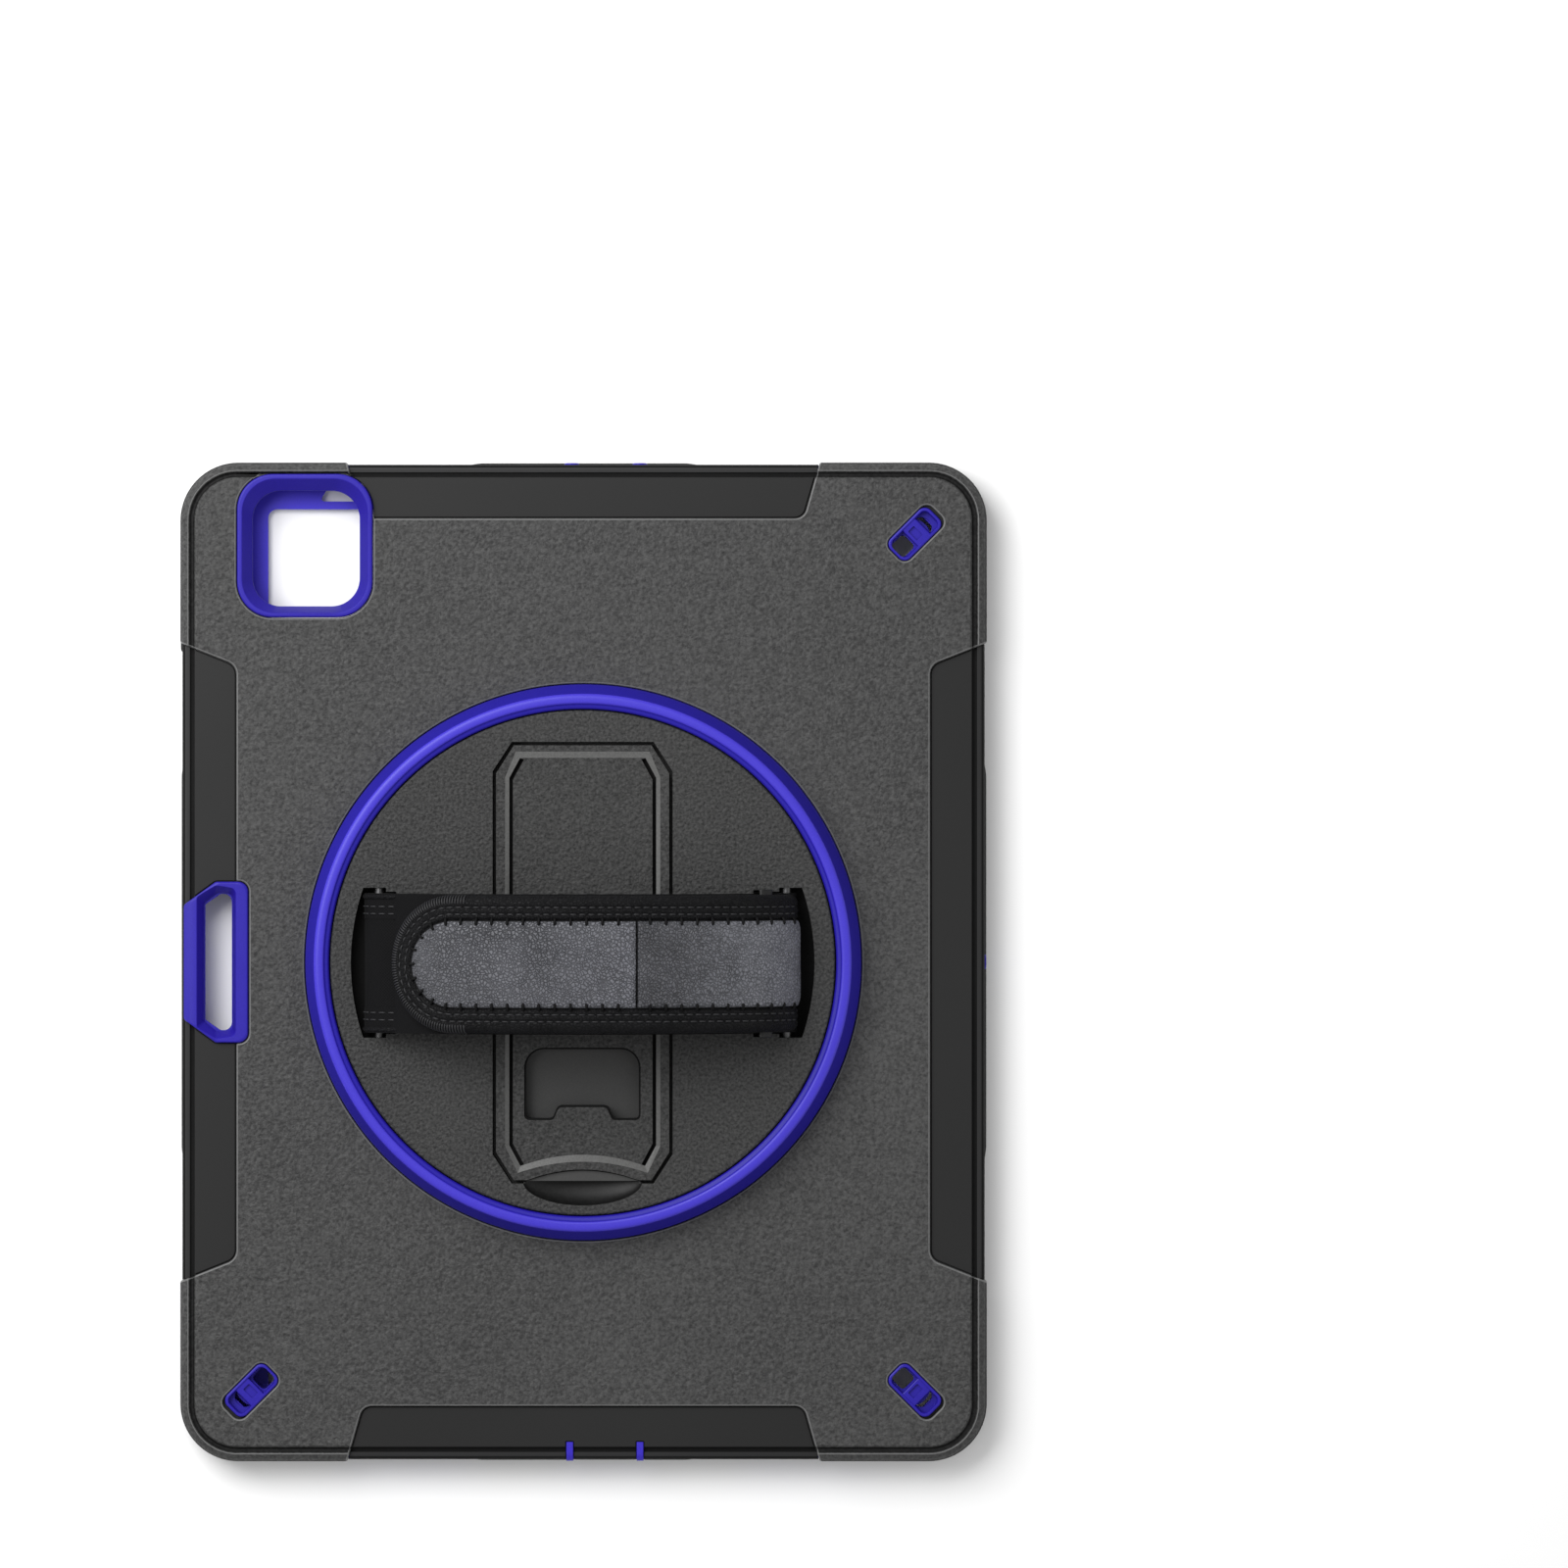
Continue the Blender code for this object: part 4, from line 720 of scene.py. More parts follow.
for y in VOLUME_Y:
    cut(bumper, prism([(y + u, PORT_Z + v) for u, v in rect(-6.3, 6.3, -2.3, 2.3, 1.5, 6)], -122, -115, "X"))
cut(
    bumper,
    block(RIBS[0] - 1.2, RIBS[1] + 1.2, -150, -143, 2.9, 10.95),
    block(RIBS[0] - 1.2, RIBS[0] + 1.2, -150, -140.4, 9, 20),
    block(RIBS[1] - 1.2, RIBS[1] + 1.2, -150, -140.4, 9, 20),
)
# Painted shade: the groove round the back and the skin's outer side take the near-black.
for face in bumper.data.polygons:
    x, y, z = (v / MM for v in face.center)
    d = inset(x, y)
    if (2.85 < d < 4.4 and 10.9 < z < 11.95 and abs(x) > 0) or (d < 1.5 and z > 9.9):
        face.material_index = 2
soften(bumper, 0.22, 2, 40)
place(bumper, "case", "bumper_skin")

# The smooth raised panels in the shell's cut-outs
for name, points, corner in (
    ("skin_panel_right", side_cut(1, 0.35, 0), None), ("skin_panel_left", side_cut(-1, 0.35, 0), None),
    ("skin_panel_top", end_cut(1, 0.35, 0), None), ("skin_panel_bottom", end_cut(-1, 0.35, 0), None),
):
    panel = make(name, prism(points, 11.92, Z_PANEL_TOP), panel_mat, shell_edge_painted_highlight)
    combine(panel, prism(outline(4.45), 0, 30), "INTERSECT")
    if name == "skin_panel_left":
        cut(panel, prism(stylus_outline(0.2), 5, 20))
    if name == "skin_panel_top":
        cut(panel, prism(camera_outline(0.2), 5, 20))
    if name == "skin_panel_bottom":
        for rib in RIBS:
            cut(panel, block(rib - 1.2, rib + 1.2, -150, -140.4, 9, 20))
    soften(panel, 0.22, 2, 40)
    place(panel, "case", slot="skin_black")

# ================================================================ inner shell
inner = make("inner_shell_body", prism(outline(2.7), 3.1, 10.4), inner_mat)
cut(inner, prism(rect(-101.0, 114.35, -140.6, 140.6, 12.0, 16), 1, 9.1), prism(rect(-112.8, -103.0, -87.5, 87.5, 1.5, 6), 1, 9.1))
rib_side = [(-142.5, 3.3), (-146.0, 3.3), (-146.25, 3.6), (-146.25, 10.7), (-146.05, 11.3), (-145.5, 11.9), (-144.8, 12.35), (-144.0, 12.6), (-140.6, 12.75), (-140.6, 10.0)]
for x in RIBS:
    join(inner, prism(rib_side, x - RIB_W / 2, x + RIB_W / 2, "X"))
join(inner, prism([(RIBS[0] - 0.9, 3.3), (RIBS[1] + 0.9, 3.3), (RIBS[1] + 0.9, 4.3), (RIBS[0] - 0.9, 4.3)], -146.1, -142.5, "Y"))
cut(
    inner,
    prism(camera_outline(0.3), 5, 20),
    prism(rect(*[v + 0.3 * s for v, s in zip(STYLUS_NECK, (-1, 1, -1, 1))], 2.0, 6), 5, 20),
    prism([(6.3 + u, 6.5 + v) for u, v in rect(-5.2, 5.2, -1.8, 1.8, 1.7, 8)], -150, -138, "Y"),
)
for x, y in ANCHORS:
    turn = anchor_angle(x, y)
    cut(inner, prism(moved(rect(-8.0, -2.2, -2.9, 2.9, 1.4, 6), x, y, turn), 5, 20), prism(moved(rect(3.3, 5.3, -3.0, 3.0, 0.9, 5), x, y, turn), 5, 20))
for x, sign in SPEAKERS:
    cut(inner, block(x - 18.5, x + 18.5, min(sign * 139, sign * 150), max(sign * 139, sign * 150), PORT_Z - 1.3, PORT_Z + 1.3))
for x, y, axis in MICS:
    cut(inner, drum(x, PORT_Z, 1.0, 139, 150, 24, "Y") if axis == "Y" else drum(y, PORT_Z, 1.0, 112, 122, 24, "X"))
cut(inner, block(POWER_X - 5.4, POWER_X + 5.4, 139, 150, PORT_Z - 1.6, PORT_Z + 1.6))
for y in VOLUME_Y:
    cut(inner, block(-120, -100, y - 4.4, y + 4.4, PORT_Z - 1.6, PORT_Z + 1.6))
screw_spots = [(78.8 * math.cos(math.tau * (k + 0.5) / 6), 78.8 * math.sin(math.tau * (k + 0.5) / 6)) for k in range(6)]
for x, y in screw_spots:
    cut(inner, drum(x, y, 1.25, 8, 12, 24), drum(x, y, 2.25, 8, 9.1 + 0.95, 32))
soften(inner, 0.25, 2, 42)
place(inner, "case", "inner_shell")

# ================================================================ front frame
front = make("front_frame_body", stack([(outline(4.5), 0.5), (outline(4.28), 0.58), (outline(4.2), 0.8), (outline(4.2), 2.8)]), front_mat)
cut(
    front,
    stack([(window(8.9), 0.3), (window(8.5), 0.52), (window(7.9), 0.62), (window(0.6), 1.5), (window(0.05), 1.72)]),
    prism(window(0), -1, 5),
    prism(rounded([(MIDDLE_X - 21, 131, 0, 1), (MIDDLE_X + 21, 131, 0, 1), (MIDDLE_X + 16.5, 141, 2.0, 8), (MIDDLE_X - 16.5, 141, 2.0, 8)]), -1, 5),
    prism(rect(*BAY_MOUTH, 4.4, 12), -1, 5),
)
for x, lean in ((83.3, -1.6), (-70.7, 1.6)):
    cut(front, prism(rounded([(x - 5.5 - lean, 135.3, 0.8, 5), (x + 5.5 - lean, 135.3, 0.8, 5), (x + 5.5 + lean, 140.7, 0.8, 5), (x - 5.5 + lean, 140.7, 0.8, 5)]), -1, 5))
soften(front, 0.28, 3, 40)
place(front, "front", "front_frame")

# ================================================================ guide ring
ring = make(
    "guide_ring_body",
    turned([
        (76.6, 10.7), (81.4, 10.7), (81.4, 13.9), (81.36, 14.5), (81.2, 15.1), (80.95, 15.8), (78.75, 21.1), (78.55, 21.6), (78.25, 22.0),
        (77.85, 22.22), (77.3, 22.3), (76.3, 22.3), (75.95, 22.22), (75.7, 22.0), (75.45, 21.7), (75.15, 21.55), (74.75, 21.5), (74.4, 21.35),
        (74.15, 21.0), (74.05, 20.5), (74.05, 17.3), (76.6, 17.3),
    ], 240),
    ring_mat, ring_wall_painted_shade,
)
# Painted shade: the steep outer wall and the inner face take the darker blue.
for face in ring.data.polygons:
    c, n = face.center, face.normal
    r, nr = math.hypot(c.x, c.y) / MM, (c.x * n.x + c.y * n.y) / math.hypot(c.x, c.y)
    face.material_index = 1 if (r > 78.4 and nr > 0.5) or r < 75.6 else 0
ring.data.shade_smooth()
ring.data.set_sharp_from_angle(angle=math.radians(50))
place(ring, "case", "guide_ring")

# ================================================================ blue trims on the back
def trim_levels(points, levels):
    return stack([(points(grow), z) for grow, z in levels])


camera = make(
    "camera_surround_body",
    trim_levels(camera_outline, [(0, 9.4), (0, 13.7), (-0.08, 14.1), (-0.3, 14.35), (-0.7, 14.45), (-1.1, 14.45)]),
    trim_mat, trim_inner_painted_shade,
)
x0, x1, y0, y1, r = CAMERA_HOLE


def camera_hole(share, steps=14):
    return rect(x0 - 2.9 * share, x1 + 2.5 * share, y0 - 2.0 * share, y1 + 3.3 * share, r + 1.5 * share, steps)


cut(camera, stack([(camera_hole(0), 8.0), (camera_hole(0), 10.9), (camera_hole(0.12), 11.3), (camera_hole(0.9), 13.9), (camera_hole(1.0), 14.3), (camera_hole(1.15), 14.6)]))
# Painted shade: the sloped and upright walls inside the camera hole take the darker blue.
for face in camera.data.polygons:
    face.material_index = 1 if face.normal.z < 0.9 and face.center.z < 14.2 * MM else 0
soften(camera, 0.22, 2, 35)
place(camera, "case", "camera_surround")

trim = make(
    "stylus_window_trim_body",
    trim_levels(stylus_outline, [(0, 12.9), (0, 13.5), (-0.1, 13.9), (-0.35, 14.15), (-0.75, 14.22)]),
    trim_mat, trim_inner_painted_shade,
)
join(trim, prism(stylus_neck(0), 9.4, 13.2))


def stylus_hole(grow, steps=6):
    a, b, c, d = STYLUS_HOLE
    return rounded([
        (a - grow, c + 3.1 - grow, 0.9, steps), (a + 4.5, c - grow, 1.5, steps), (b + grow, c - grow, 2.4, steps),
        (b + grow, d + grow, 2.4, steps), (a + 4.5, d + grow, 1.5, steps), (a - grow, d - 3.1 + grow, 0.9, steps),
    ])


# The well widens towards the outside, with sloped walls all round
def stylus_well(grow, steps=6):
    a, b, c, d = STYLUS_HOLE
    return rounded([
        (a - grow, c + 3.0 - grow, 1.2, steps), (a + 3.4, c - grow * 1.1, 1.6, steps), (b + grow * 0.6, c - grow * 0.7, 1.8, steps),
        (b + grow * 0.6, d + grow * 0.7, 1.8, steps), (a + 3.4, d + grow * 1.1, 1.6, steps), (a - grow, d - 3.0 + grow, 1.2, steps),
    ])


cut(trim, prism(stylus_hole(0), 5, 20), stack([(stylus_well(0.3), 10.6), (stylus_well(0.5), 11.6), (stylus_well(2.1), 13.9), (stylus_well(2.6), 14.6)]))
# The outer side slopes down over the case's back edge
cut(trim, prism([(-120, 12.6), (-114.2, 14.5), (-120, 14.8)], -30, 30, "Y"))
# Painted shade: the walls inside the stylus well take the darker blue.
for face in trim.data.polygons:
    face.material_index = 1 if face.normal.z < 0.93 and face.center.z < 14.0 * MM and face.center.x > -114.5 * MM else 0
soften(trim, 0.2, 2, 35)
place(trim, "case", "stylus_window_trim")

for k, (x, y) in enumerate(ANCHORS, 1):
    turn = anchor_angle(x, y)
    anchor = make(
        "lanyard_anchor_%d_body" % k,
        stack([(anchor_outline(x, y, g), z) for g, z in ((0, 10.7), (0, 13.5), (-0.1, 13.8), (-0.35, 13.95), (-0.5, 13.97))]),
        trim_mat, trim_inner_painted_shade,
    )
    cut(anchor, stack([(moved(rect(-7.1, 7.1, -2.95, 2.95, 1.5, 8), x, y, turn), 11.4), (moved(rect(-7.2, 7.2, -3.1, 3.1, 1.6, 8), x, y, turn), 13.4), (moved(rect(-7.6, 7.6, -3.5, 3.5, 1.9, 8), x, y, turn), 14.4)]))
    # The bridge, with a shallow recess in its top
    bridge = [(-1.9, 11.0), (3.4, 11.0), (3.4, 13.1), (3.2, 13.5), (2.8, 13.7), (-1.4, 13.7), (-1.75, 13.5), (-1.9, 13.1)]
    c, s = math.cos(math.radians(turn)), math.sin(math.radians(turn))
    rings = [[(x + u * c - v * s, y + u * s + v * c, z) for u, z in bridge] for v in (-3.9, 3.9)]
    join(anchor, solid(rings))
    cut(anchor, prism(moved(rect(-7.5, -2.35, -2.6, 2.6, 1.2, 6), x, y, turn), 5, 20))
    cut(anchor, prism(moved(rect(-0.9, 1.5, -1.9, 1.9, 0.3, 4), x, y, turn), 13.0, 20))
    curved = [(3.3 + 0.9 * math.cos(a), 2.75 * math.sin(a)) for a in [math.pi / 2 - math.pi * j / 12 for j in range(13)]]
    curved += [(3.5 + 2.3 * math.cos(a), 2.8 * math.sin(a)) for a in [-math.pi / 2 + math.pi * j / 12 for j in range(13)]]
    cut(anchor, prism(moved(curved, x, y, turn), 5, 20))
    # Painted shade: the walls inside the anchor's slots take the darker blue.
    for face in anchor.data.polygons:
        face.material_index = 1 if face.normal.z < 0.6 and face.center.z < 13.4 * MM else 0
    soften(anchor, 0.16, 2, 35)
    place(anchor, "case", "lanyard_anchor_%d" % k)

# ================================================================ grilles, microphone ports, buttons and flap
for k, (x, sign) in enumerate(SPEAKERS, 1):
    low, high = sorted((sign * 144.1, sign * 145.6))
    grille = make("speaker_grille_%d_body" % k, prism([(x + u, PORT_Z + v) for u, v in rect(-20, 20, -1.9, 1.9, 0.8, 5)], low, high, "Y"), trim_mat, trim_inner_painted_shade)
    for i in range(9):
        u = (i - 4) * 4.1
        cut(grille, prism([(x + u + a, PORT_Z + b) for a, b in rect(-1.25, 1.25, -1.05, 1.05, 0.6, 5)], -150, 150, "Y"))
    soften(grille, 0.18, 2, 40)
    place(grille, "case", "speaker_grille_%d" % k)

for k, (x, y, axis) in enumerate(MICS, 1):
    if axis == "Y":
        rings = [[(x + r * math.cos(math.tau * j / 40), v, PORT_Z + r * math.sin(math.tau * j / 40)) for j in range(40)] for r, v in ((2.2, 144.1), (2.2, 146.15), (2.05, 146.35), (1.8, 146.4), (1.25, 146.35), (0.95, 146.0), (0.8, 145.5), (0.8, 144.1))]
    else:
        rings = [[(v, y + r * math.cos(math.tau * j / 40), PORT_Z + r * math.sin(math.tau * j / 40)) for j in range(40)] for r, v in ((2.2, 115.9), (2.2, 117.95), (2.05, 118.15), (1.8, 118.2), (1.25, 118.15), (0.95, 117.8), (0.8, 117.3), (0.8, 115.9))]
    port = make("mic_port_%d_body" % k, solid(rings, closed=True), trim_mat)
    port.data.shade_smooth()
    port.data.set_sharp_from_angle(angle=math.radians(60))
    place(port, "case", "mic_port_%d" % k)


def button(name, centre, length, axis, face_at, back_at, stem):
    """A rubber key: a rounded pad with a crowned face and a stem behind it."""
    half_l, half_h = length / 2, BUTTON_H / 2
    out = 1 if face_at > back_at else -1
    levels = []
    for grow, depth in ((0.0, 99.0), (0.0, 0.75), (-0.08, 0.4), (-0.28, 0.14), (-0.6, 0.02), (-1.1, 0.0)):
        level = back_at if depth > 90 else face_at - out * depth
        points = rect(-half_l - grow, half_l + grow, -half_h - grow, half_h + grow, 1.5 + min(grow, 0) * 0.6, 8)
        if axis == "Y":
            levels.append([(centre + u, level, PORT_Z + v) for u, v in points])
        else:
            levels.append([(level, centre + u, PORT_Z + v) for u, v in points])
    key = make(name, solid(levels), button_mat)
    join(key, stem)
    key.data.shade_smooth()
    key.data.set_sharp_from_angle(angle=math.radians(45))
    return key


place(button("power_button_body", POWER_X, BUTTON_L, "Y", 146.5, 144.7, block(POWER_X - 5.0, POWER_X + 5.0, 141.3, 145.5, PORT_Z - 1.2, PORT_Z + 1.2)), "power_key", "power_button")
for name, body, y in (("volume_up", "volume_up_key", VOLUME_Y[0]), ("volume_down", "volume_down_key", VOLUME_Y[1])):
    place(button(name + "_body", y, 12.0, "X", -118.3, -116.6, block(-117.5, -101.8, y - 4.0, y + 4.0, PORT_Z - 1.2, PORT_Z + 1.2)), body, name)

flap_side = [(-145.95, 4.75), (-145.8, 4.6), (-144.4, 4.6), (-144.2, 4.8)] + [(-145.1 + 0.9 * math.cos(math.pi * k / 12), 9.7 + 0.9 * math.sin(math.pi * k / 12)) for k in range(13)]
flap = make("port_flap_body", prism(flap_side, FLAP[0], FLAP[1], "X"), button_mat)
join(flap, prism([(6.3 + u, 6.5 + v) for u, v in rect(-4.2, 4.2, -1.1, 1.1, 0.9, 6)], -145, -142.4, "Y"))
cut(flap, prism([(4.0 + u, 5.6 + v) for u, v in rect(-1.2, 5.8, -0.35, 0.35, 0.3, 4)], -147, -145.7, "Y"))
soften(flap, 0.15, 2, 40)
place(flap, "flap", "port_flap")

# ================================================================ turntable disc
disc = make(
    "turntable_disc_body",
    stack([(ellipse(0, 0, r, r, 240), z) for r, z in (
        (FLANGE_R, Z_DISC_LOW), (FLANGE_R, 16.9), (DISC_R - 0.05, 16.91), (DISC_R - 0.05, 20.5), (DISC_R - 0.15, 20.85), (DISC_R - 0.4, 21.08), (DISC_R - 0.75, Z_DISC_TOP),
    )]),
    disc_mat, disc_edge_painted_highlight, slot_painted_shade_mat, scoop_painted_shade_mat, smooth_mat,
)
hollow = make("hollow", drum(0, 0, 70.4, Z_DISC_LOW - 2, 19.5, 120))
cut(
    hollow,
    prism(octagon(2.0), 0, 30),
    prism(slot_outline(1, 2.0), 0, 30),
    prism(slot_outline(-1, 2.0), 0, 30),
    block(-32.5, 32.5, HINGE_Y - 4, HINGE_Y + 4, 0, 30),
    prism(ellipse(0, -61.5, 19.5, 12, 48), 0, 30),
    block(-66, -50, -26.5, 26.5, 0, 30),
    block(50, 66, -26.5, 26.5, 0, 30),
)
cut(
    disc,
    as_bm(hollow),
    prism(octagon(0), LEG_FLOOR, 30),
    prism(slot_plan(1), LEG_FLOOR, 30),
    prism(slot_plan(-1), LEG_FLOOR, 30),
    drum(HINGE_Y, HINGE_Z, AXLE_R + 0.3, -30.5, 30.5, 32, "X"),
    drum(PIN_X, PIN_Z, PIN_R + 0.3, -24.8, 24.8, 32, "Y"),
    drum(-PIN_X, PIN_Z, PIN_R + 0.3, -24.8, 24.8, 32, "Y"),
)
# The ledge under the leg's end, and the finger scoop in front of it
crescent = [(-17.2 + 34.4 * k / 24, -60.75 - 3.35 * ((-17.2 + 34.4 * k / 24) / 17.2) ** 2) for k in range(25)]
join(disc, prism(crescent + [(17.6, -65.2), (-17.6, -65.2)], 15.0, 19.9))
bowl = []
for k in range(13):
    a = math.pi / 2 * k / 12
    bowl.append((ellipse(0, -63.7, 17.5 * max(math.sin(a), 0.06), 7.2 * max(math.sin(a), 0.06), 72), 21.3 - 4.6 * math.cos(a)))
bowl.append((ellipse(0, -63.7, 17.6, 7.3, 72), 22.0))
scoop = make("scoop", stack(bowl))
cut(scoop, block(-30, 30, -63.75, -40, 0, 30))
cut(disc, as_bm(scoop))
# Painted shade: the strap slots and the walls of the leg's recess take the near-black.
for face in disc.data.polygons:
    x, y, z = (v / MM for v in face.center)
    n = face.normal
    if abs(x) > SLOT_IN - 0.1 and abs(y) < SLOT_HALF + 0.1 and z < 21.1 and math.hypot(x, y) < SLOT_ARC_R + 0.3:
        face.material_index = 2
    # Painted shade: the finger scoop's bowl takes the darker black.
    elif y < -63.6 and abs(x) < 17.8 and y > -71.2 and z < 21.15:
        face.material_index = 3
    elif y < -60 and abs(x) < 18 and z > 19 and z < 20.3:
        face.material_index = 4
    # The recess floor under the leg takes the smooth grey, lighter than the disc: partly its own colour, partly painted
    # light against the deep recess's shade.
    elif abs(x) < LEG_X + 0.1 and abs(y) < LEG_Y + 0.1 and z < 15.5 and n.z > 0.9:
        face.material_index = 4
    elif abs(x) < LEG_X + 0.1 and abs(y) < LEG_Y + 0.1 and z < 21.1:
        face.material_index = 2
soften(disc, 0.16, 2, 42)
place(disc, "turntable", "turntable_disc")


# ================================================================ hinge cover and kickstand leg
def bevelled_top(obj, chamfer_out, chamfer_in, top, floor):
    """Sinks a panel into the top, with a sloped border."""
    cut(obj, stack([(chamfer_in, floor), (chamfer_out, top), ([(x * 1.02, y * 1.02) for x, y in chamfer_out], top + 0.4)]))


def groove(side, end_y, tip, start_y):
    """A groove down one side of the panel and round the corner's diagonal, as a plan outline."""
    (ax, ay), (bx, by) = tip
    return [(side * x, y) for x, y in ((21.45, start_y), (21.45, end_y), (ax, ay), (bx, by), (20.4, end_y - math.copysign(0.45, end_y)), (20.4, start_y))]


cover = make("hinge_cover_body", prism(octagon(-1.0, -1.7, LEG_Y), LEG_LOW, LEG_TOP), disc_mat, disc_edge_painted_highlight, groove_painted_shade_mat, painted_highlight_chamfer_mat)
out_edge = [(-22.65, -3.0), (22.65, -3.0), (22.65, 54.2), (19.55, 61.65), (-19.55, 61.65), (-22.65, 54.2)]
in_edge = [(-21.45, -3.0), (21.45, -3.0), (21.45, 54.0), (18.35, 59.85), (-18.35, 59.85), (-21.45, 54.0)]
bevelled_top(cover, out_edge, in_edge, LEG_TOP, LEG_TOP - 0.75)
for side in (1, -1):
    cut(cover, prism(groove(side, 53.9, ((18.3, 59.7), (17.15, 59.4)), -3.0), 18.3, 30))
cut(cover, prism([(-18.5, 1.6), (18.5, 1.6), (18.5, 52), (14, 57), (-14, 57), (-18.5, 52)], LEG_LOW - 1, 17.6))
# Painted shade: the side grooves and the upright walls take the near-black groove material.
for face in cover.data.polygons:
    x, y, z = (v / MM for v in face.center)
    if z < LEG_TOP - 0.76 and abs(x) > 16.9 and abs(x) < 21.6 and z > 18.2 and y > -1.6:
        face.material_index = 2
    # Painted highlight: the sloped chamfers take the lighter grey.
    elif 0.2 < face.normal.z < 0.95 and z > 20.0:
        face.material_index = 3
    elif abs(face.normal.z) < 0.2 and y > 0:
        face.material_index = 2
soften(cover, 0.14, 2, 38, edge_slot=-1)
place(cover, "turntable", "hinge_cover")

leg_side = [(-LEG_Y - 5, LEG_LOW), (HINGE_Y, LEG_LOW)]
leg_side += [(HINGE_Y + HINGE_R * math.sin(math.pi * k / 16), HINGE_Z - HINGE_R * math.cos(math.pi * k / 16)) for k in range(1, 16)]
leg_side += [(HINGE_Y, LEG_TOP), (-LEG_Y - 5, LEG_TOP)]
leg = make("kickstand_leg_body", prism(leg_side, -LEG_X + 1.0, LEG_X - 1.0, "X"), disc_mat, disc_edge_painted_highlight, groove_painted_shade_mat, painted_highlight_chamfer_mat)
combine(leg, prism(octagon(-1.0, -LEG_Y, 0.0), 0, 40), "INTERSECT")
low_arc = [(-17.4 + 34.8 * k / 24, -60.4 - 3.6 * ((-17.4 + 34.8 * k / 24) / 17.4) ** 2) for k in range(25)]
arc_out = [(-19.0 + 38.0 * k / 24, -58.1 - 3.3 * ((-19.0 + 38.0 * k / 24) / 19.0) ** 2) for k in range(25)]
arc_in = [(-18.2 + 36.4 * k / 24, -56.1 - 3.3 * ((-18.2 + 36.4 * k / 24) / 18.2) ** 2) for k in range(25)]
cut(leg, prism(low_arc + [(17.6, -70), (-17.6, -70)], 0, 40))
bevelled_top(leg, arc_out + [(22.65, -53.6), (22.65, -1.0), (-22.65, -1.0), (-22.65, -53.6)], arc_in + [(21.45, -53.4), (21.45, -1.0), (-21.45, -1.0), (-21.45, -53.4)], LEG_TOP, LEG_TOP - 0.75)
cut(
    leg,
    prism(rounded([
        (-16.6, -45.5, 1.2, 6), (-8.9, -45.5, 1.4, 6), (-7.3, -41.7, 1.8, 8), (7.3, -41.7, 1.8, 8), (8.9, -45.5, 1.4, 6), (16.4, -45.5, 1.2, 6),
        (16.4, -25.3, 5.4, 14), (-16.6, -25.3, 5.4, 14),
    ]), 0, 40),
    drum(HINGE_Y, HINGE_Z, AXLE_R + 0.3, -40, 40, 32, "X"),
)
for side in (1, -1):
    cut(leg, prism(groove(side, -53.3, ((18.25, -59.3), (17.1, -59.0)), -1.0), 18.3, 30))
# A narrow step round the window
cut(
    leg,
    prism(rounded([
        (-17.1, -46.0, 1.5, 6), (-8.57, -46.0, 1.4, 6), (-6.97, -42.2, 1.8, 8), (6.97, -42.2, 1.8, 8), (8.57, -46.0, 1.4, 6), (16.9, -46.0, 1.5, 6),
        (16.9, -24.8, 5.9, 14), (-17.1, -24.8, 5.9, 14),
    ]), 19.5, 30),
)
# Painted shade: the side grooves, the window's upright walls and the step round it take the near-black groove material.
for face in leg.data.polygons:
    x, y, z = (v / MM for v in face.center)
    if z < LEG_TOP - 0.76 and 16.9 < abs(x) < 21.6 and z > 18.2 and face.normal.z > -0.2 and y < -2:
        face.material_index = 2
    # Painted highlight: the sloped chamfers take the lighter grey.
    elif 0.2 < face.normal.z < 0.95 and z > 20.0 and y < -8:
        face.material_index = 3
    elif abs(x) < 17.2 and -46.1 < y < -24.7 and (abs(face.normal.z) < 0.2 or 19.3 < z < 19.7):
        face.material_index = 2
for face in leg.data.polygons:
    face.use_smooth = face.center.y > (HINGE_Y - 0.5) * MM and abs(face.normal.x) < 0.5
place(leg, "kickstand", "kickstand_leg")

# Kept CAD nodes with finished materials
for name, mat in (("kickstand_axle", steel_mat), ("strap_pin_left", steel_mat), ("strap_pin_right", steel_mat), ("slide_ring", slide_mat), *(("ring_screw_%d" % k, steel_mat) for k in range(1, 7))):
    node = frame["nodes"][name]
    for held in node.material_slots:
        held.material = mat

# ================================================================ hand strap
LOW_OUT = BAND_T / 2 + 0.3
PAD_START, PAD_END = 0.1, 2.695
MARKS = [PAD_START + (PAD_END - PAD_START) * k / 1200 for k in range(1201)]
RUN = [0.0]
for a, b in zip(MARKS, MARKS[1:]):
    p, q = arch(a, LOW_OUT), arch(b, LOW_OUT)
    RUN.append(RUN[-1] + math.hypot(q[0] - p[0], q[1] - p[1]))
PAD_LEN = RUN[-1]


def t_at(s):
    s = min(max(s, 0.0), PAD_LEN)
    low, high = 0, len(RUN) - 1
    while high - low > 1:
        mid = (low + high) // 2
        low, high = (mid, high) if RUN[mid] <= s else (low, mid)
    share = (s - RUN[low]) / (RUN[high] - RUN[low])
    return MARKS[low] + (MARKS[high] - MARKS[low]) * share


def on_pad(s, y, h):
    """A point h above the pad's underside, s along the strap from the right and y across it."""
    x, z = arch(t_at(s), LOW_OUT + h)
    return x, y, z


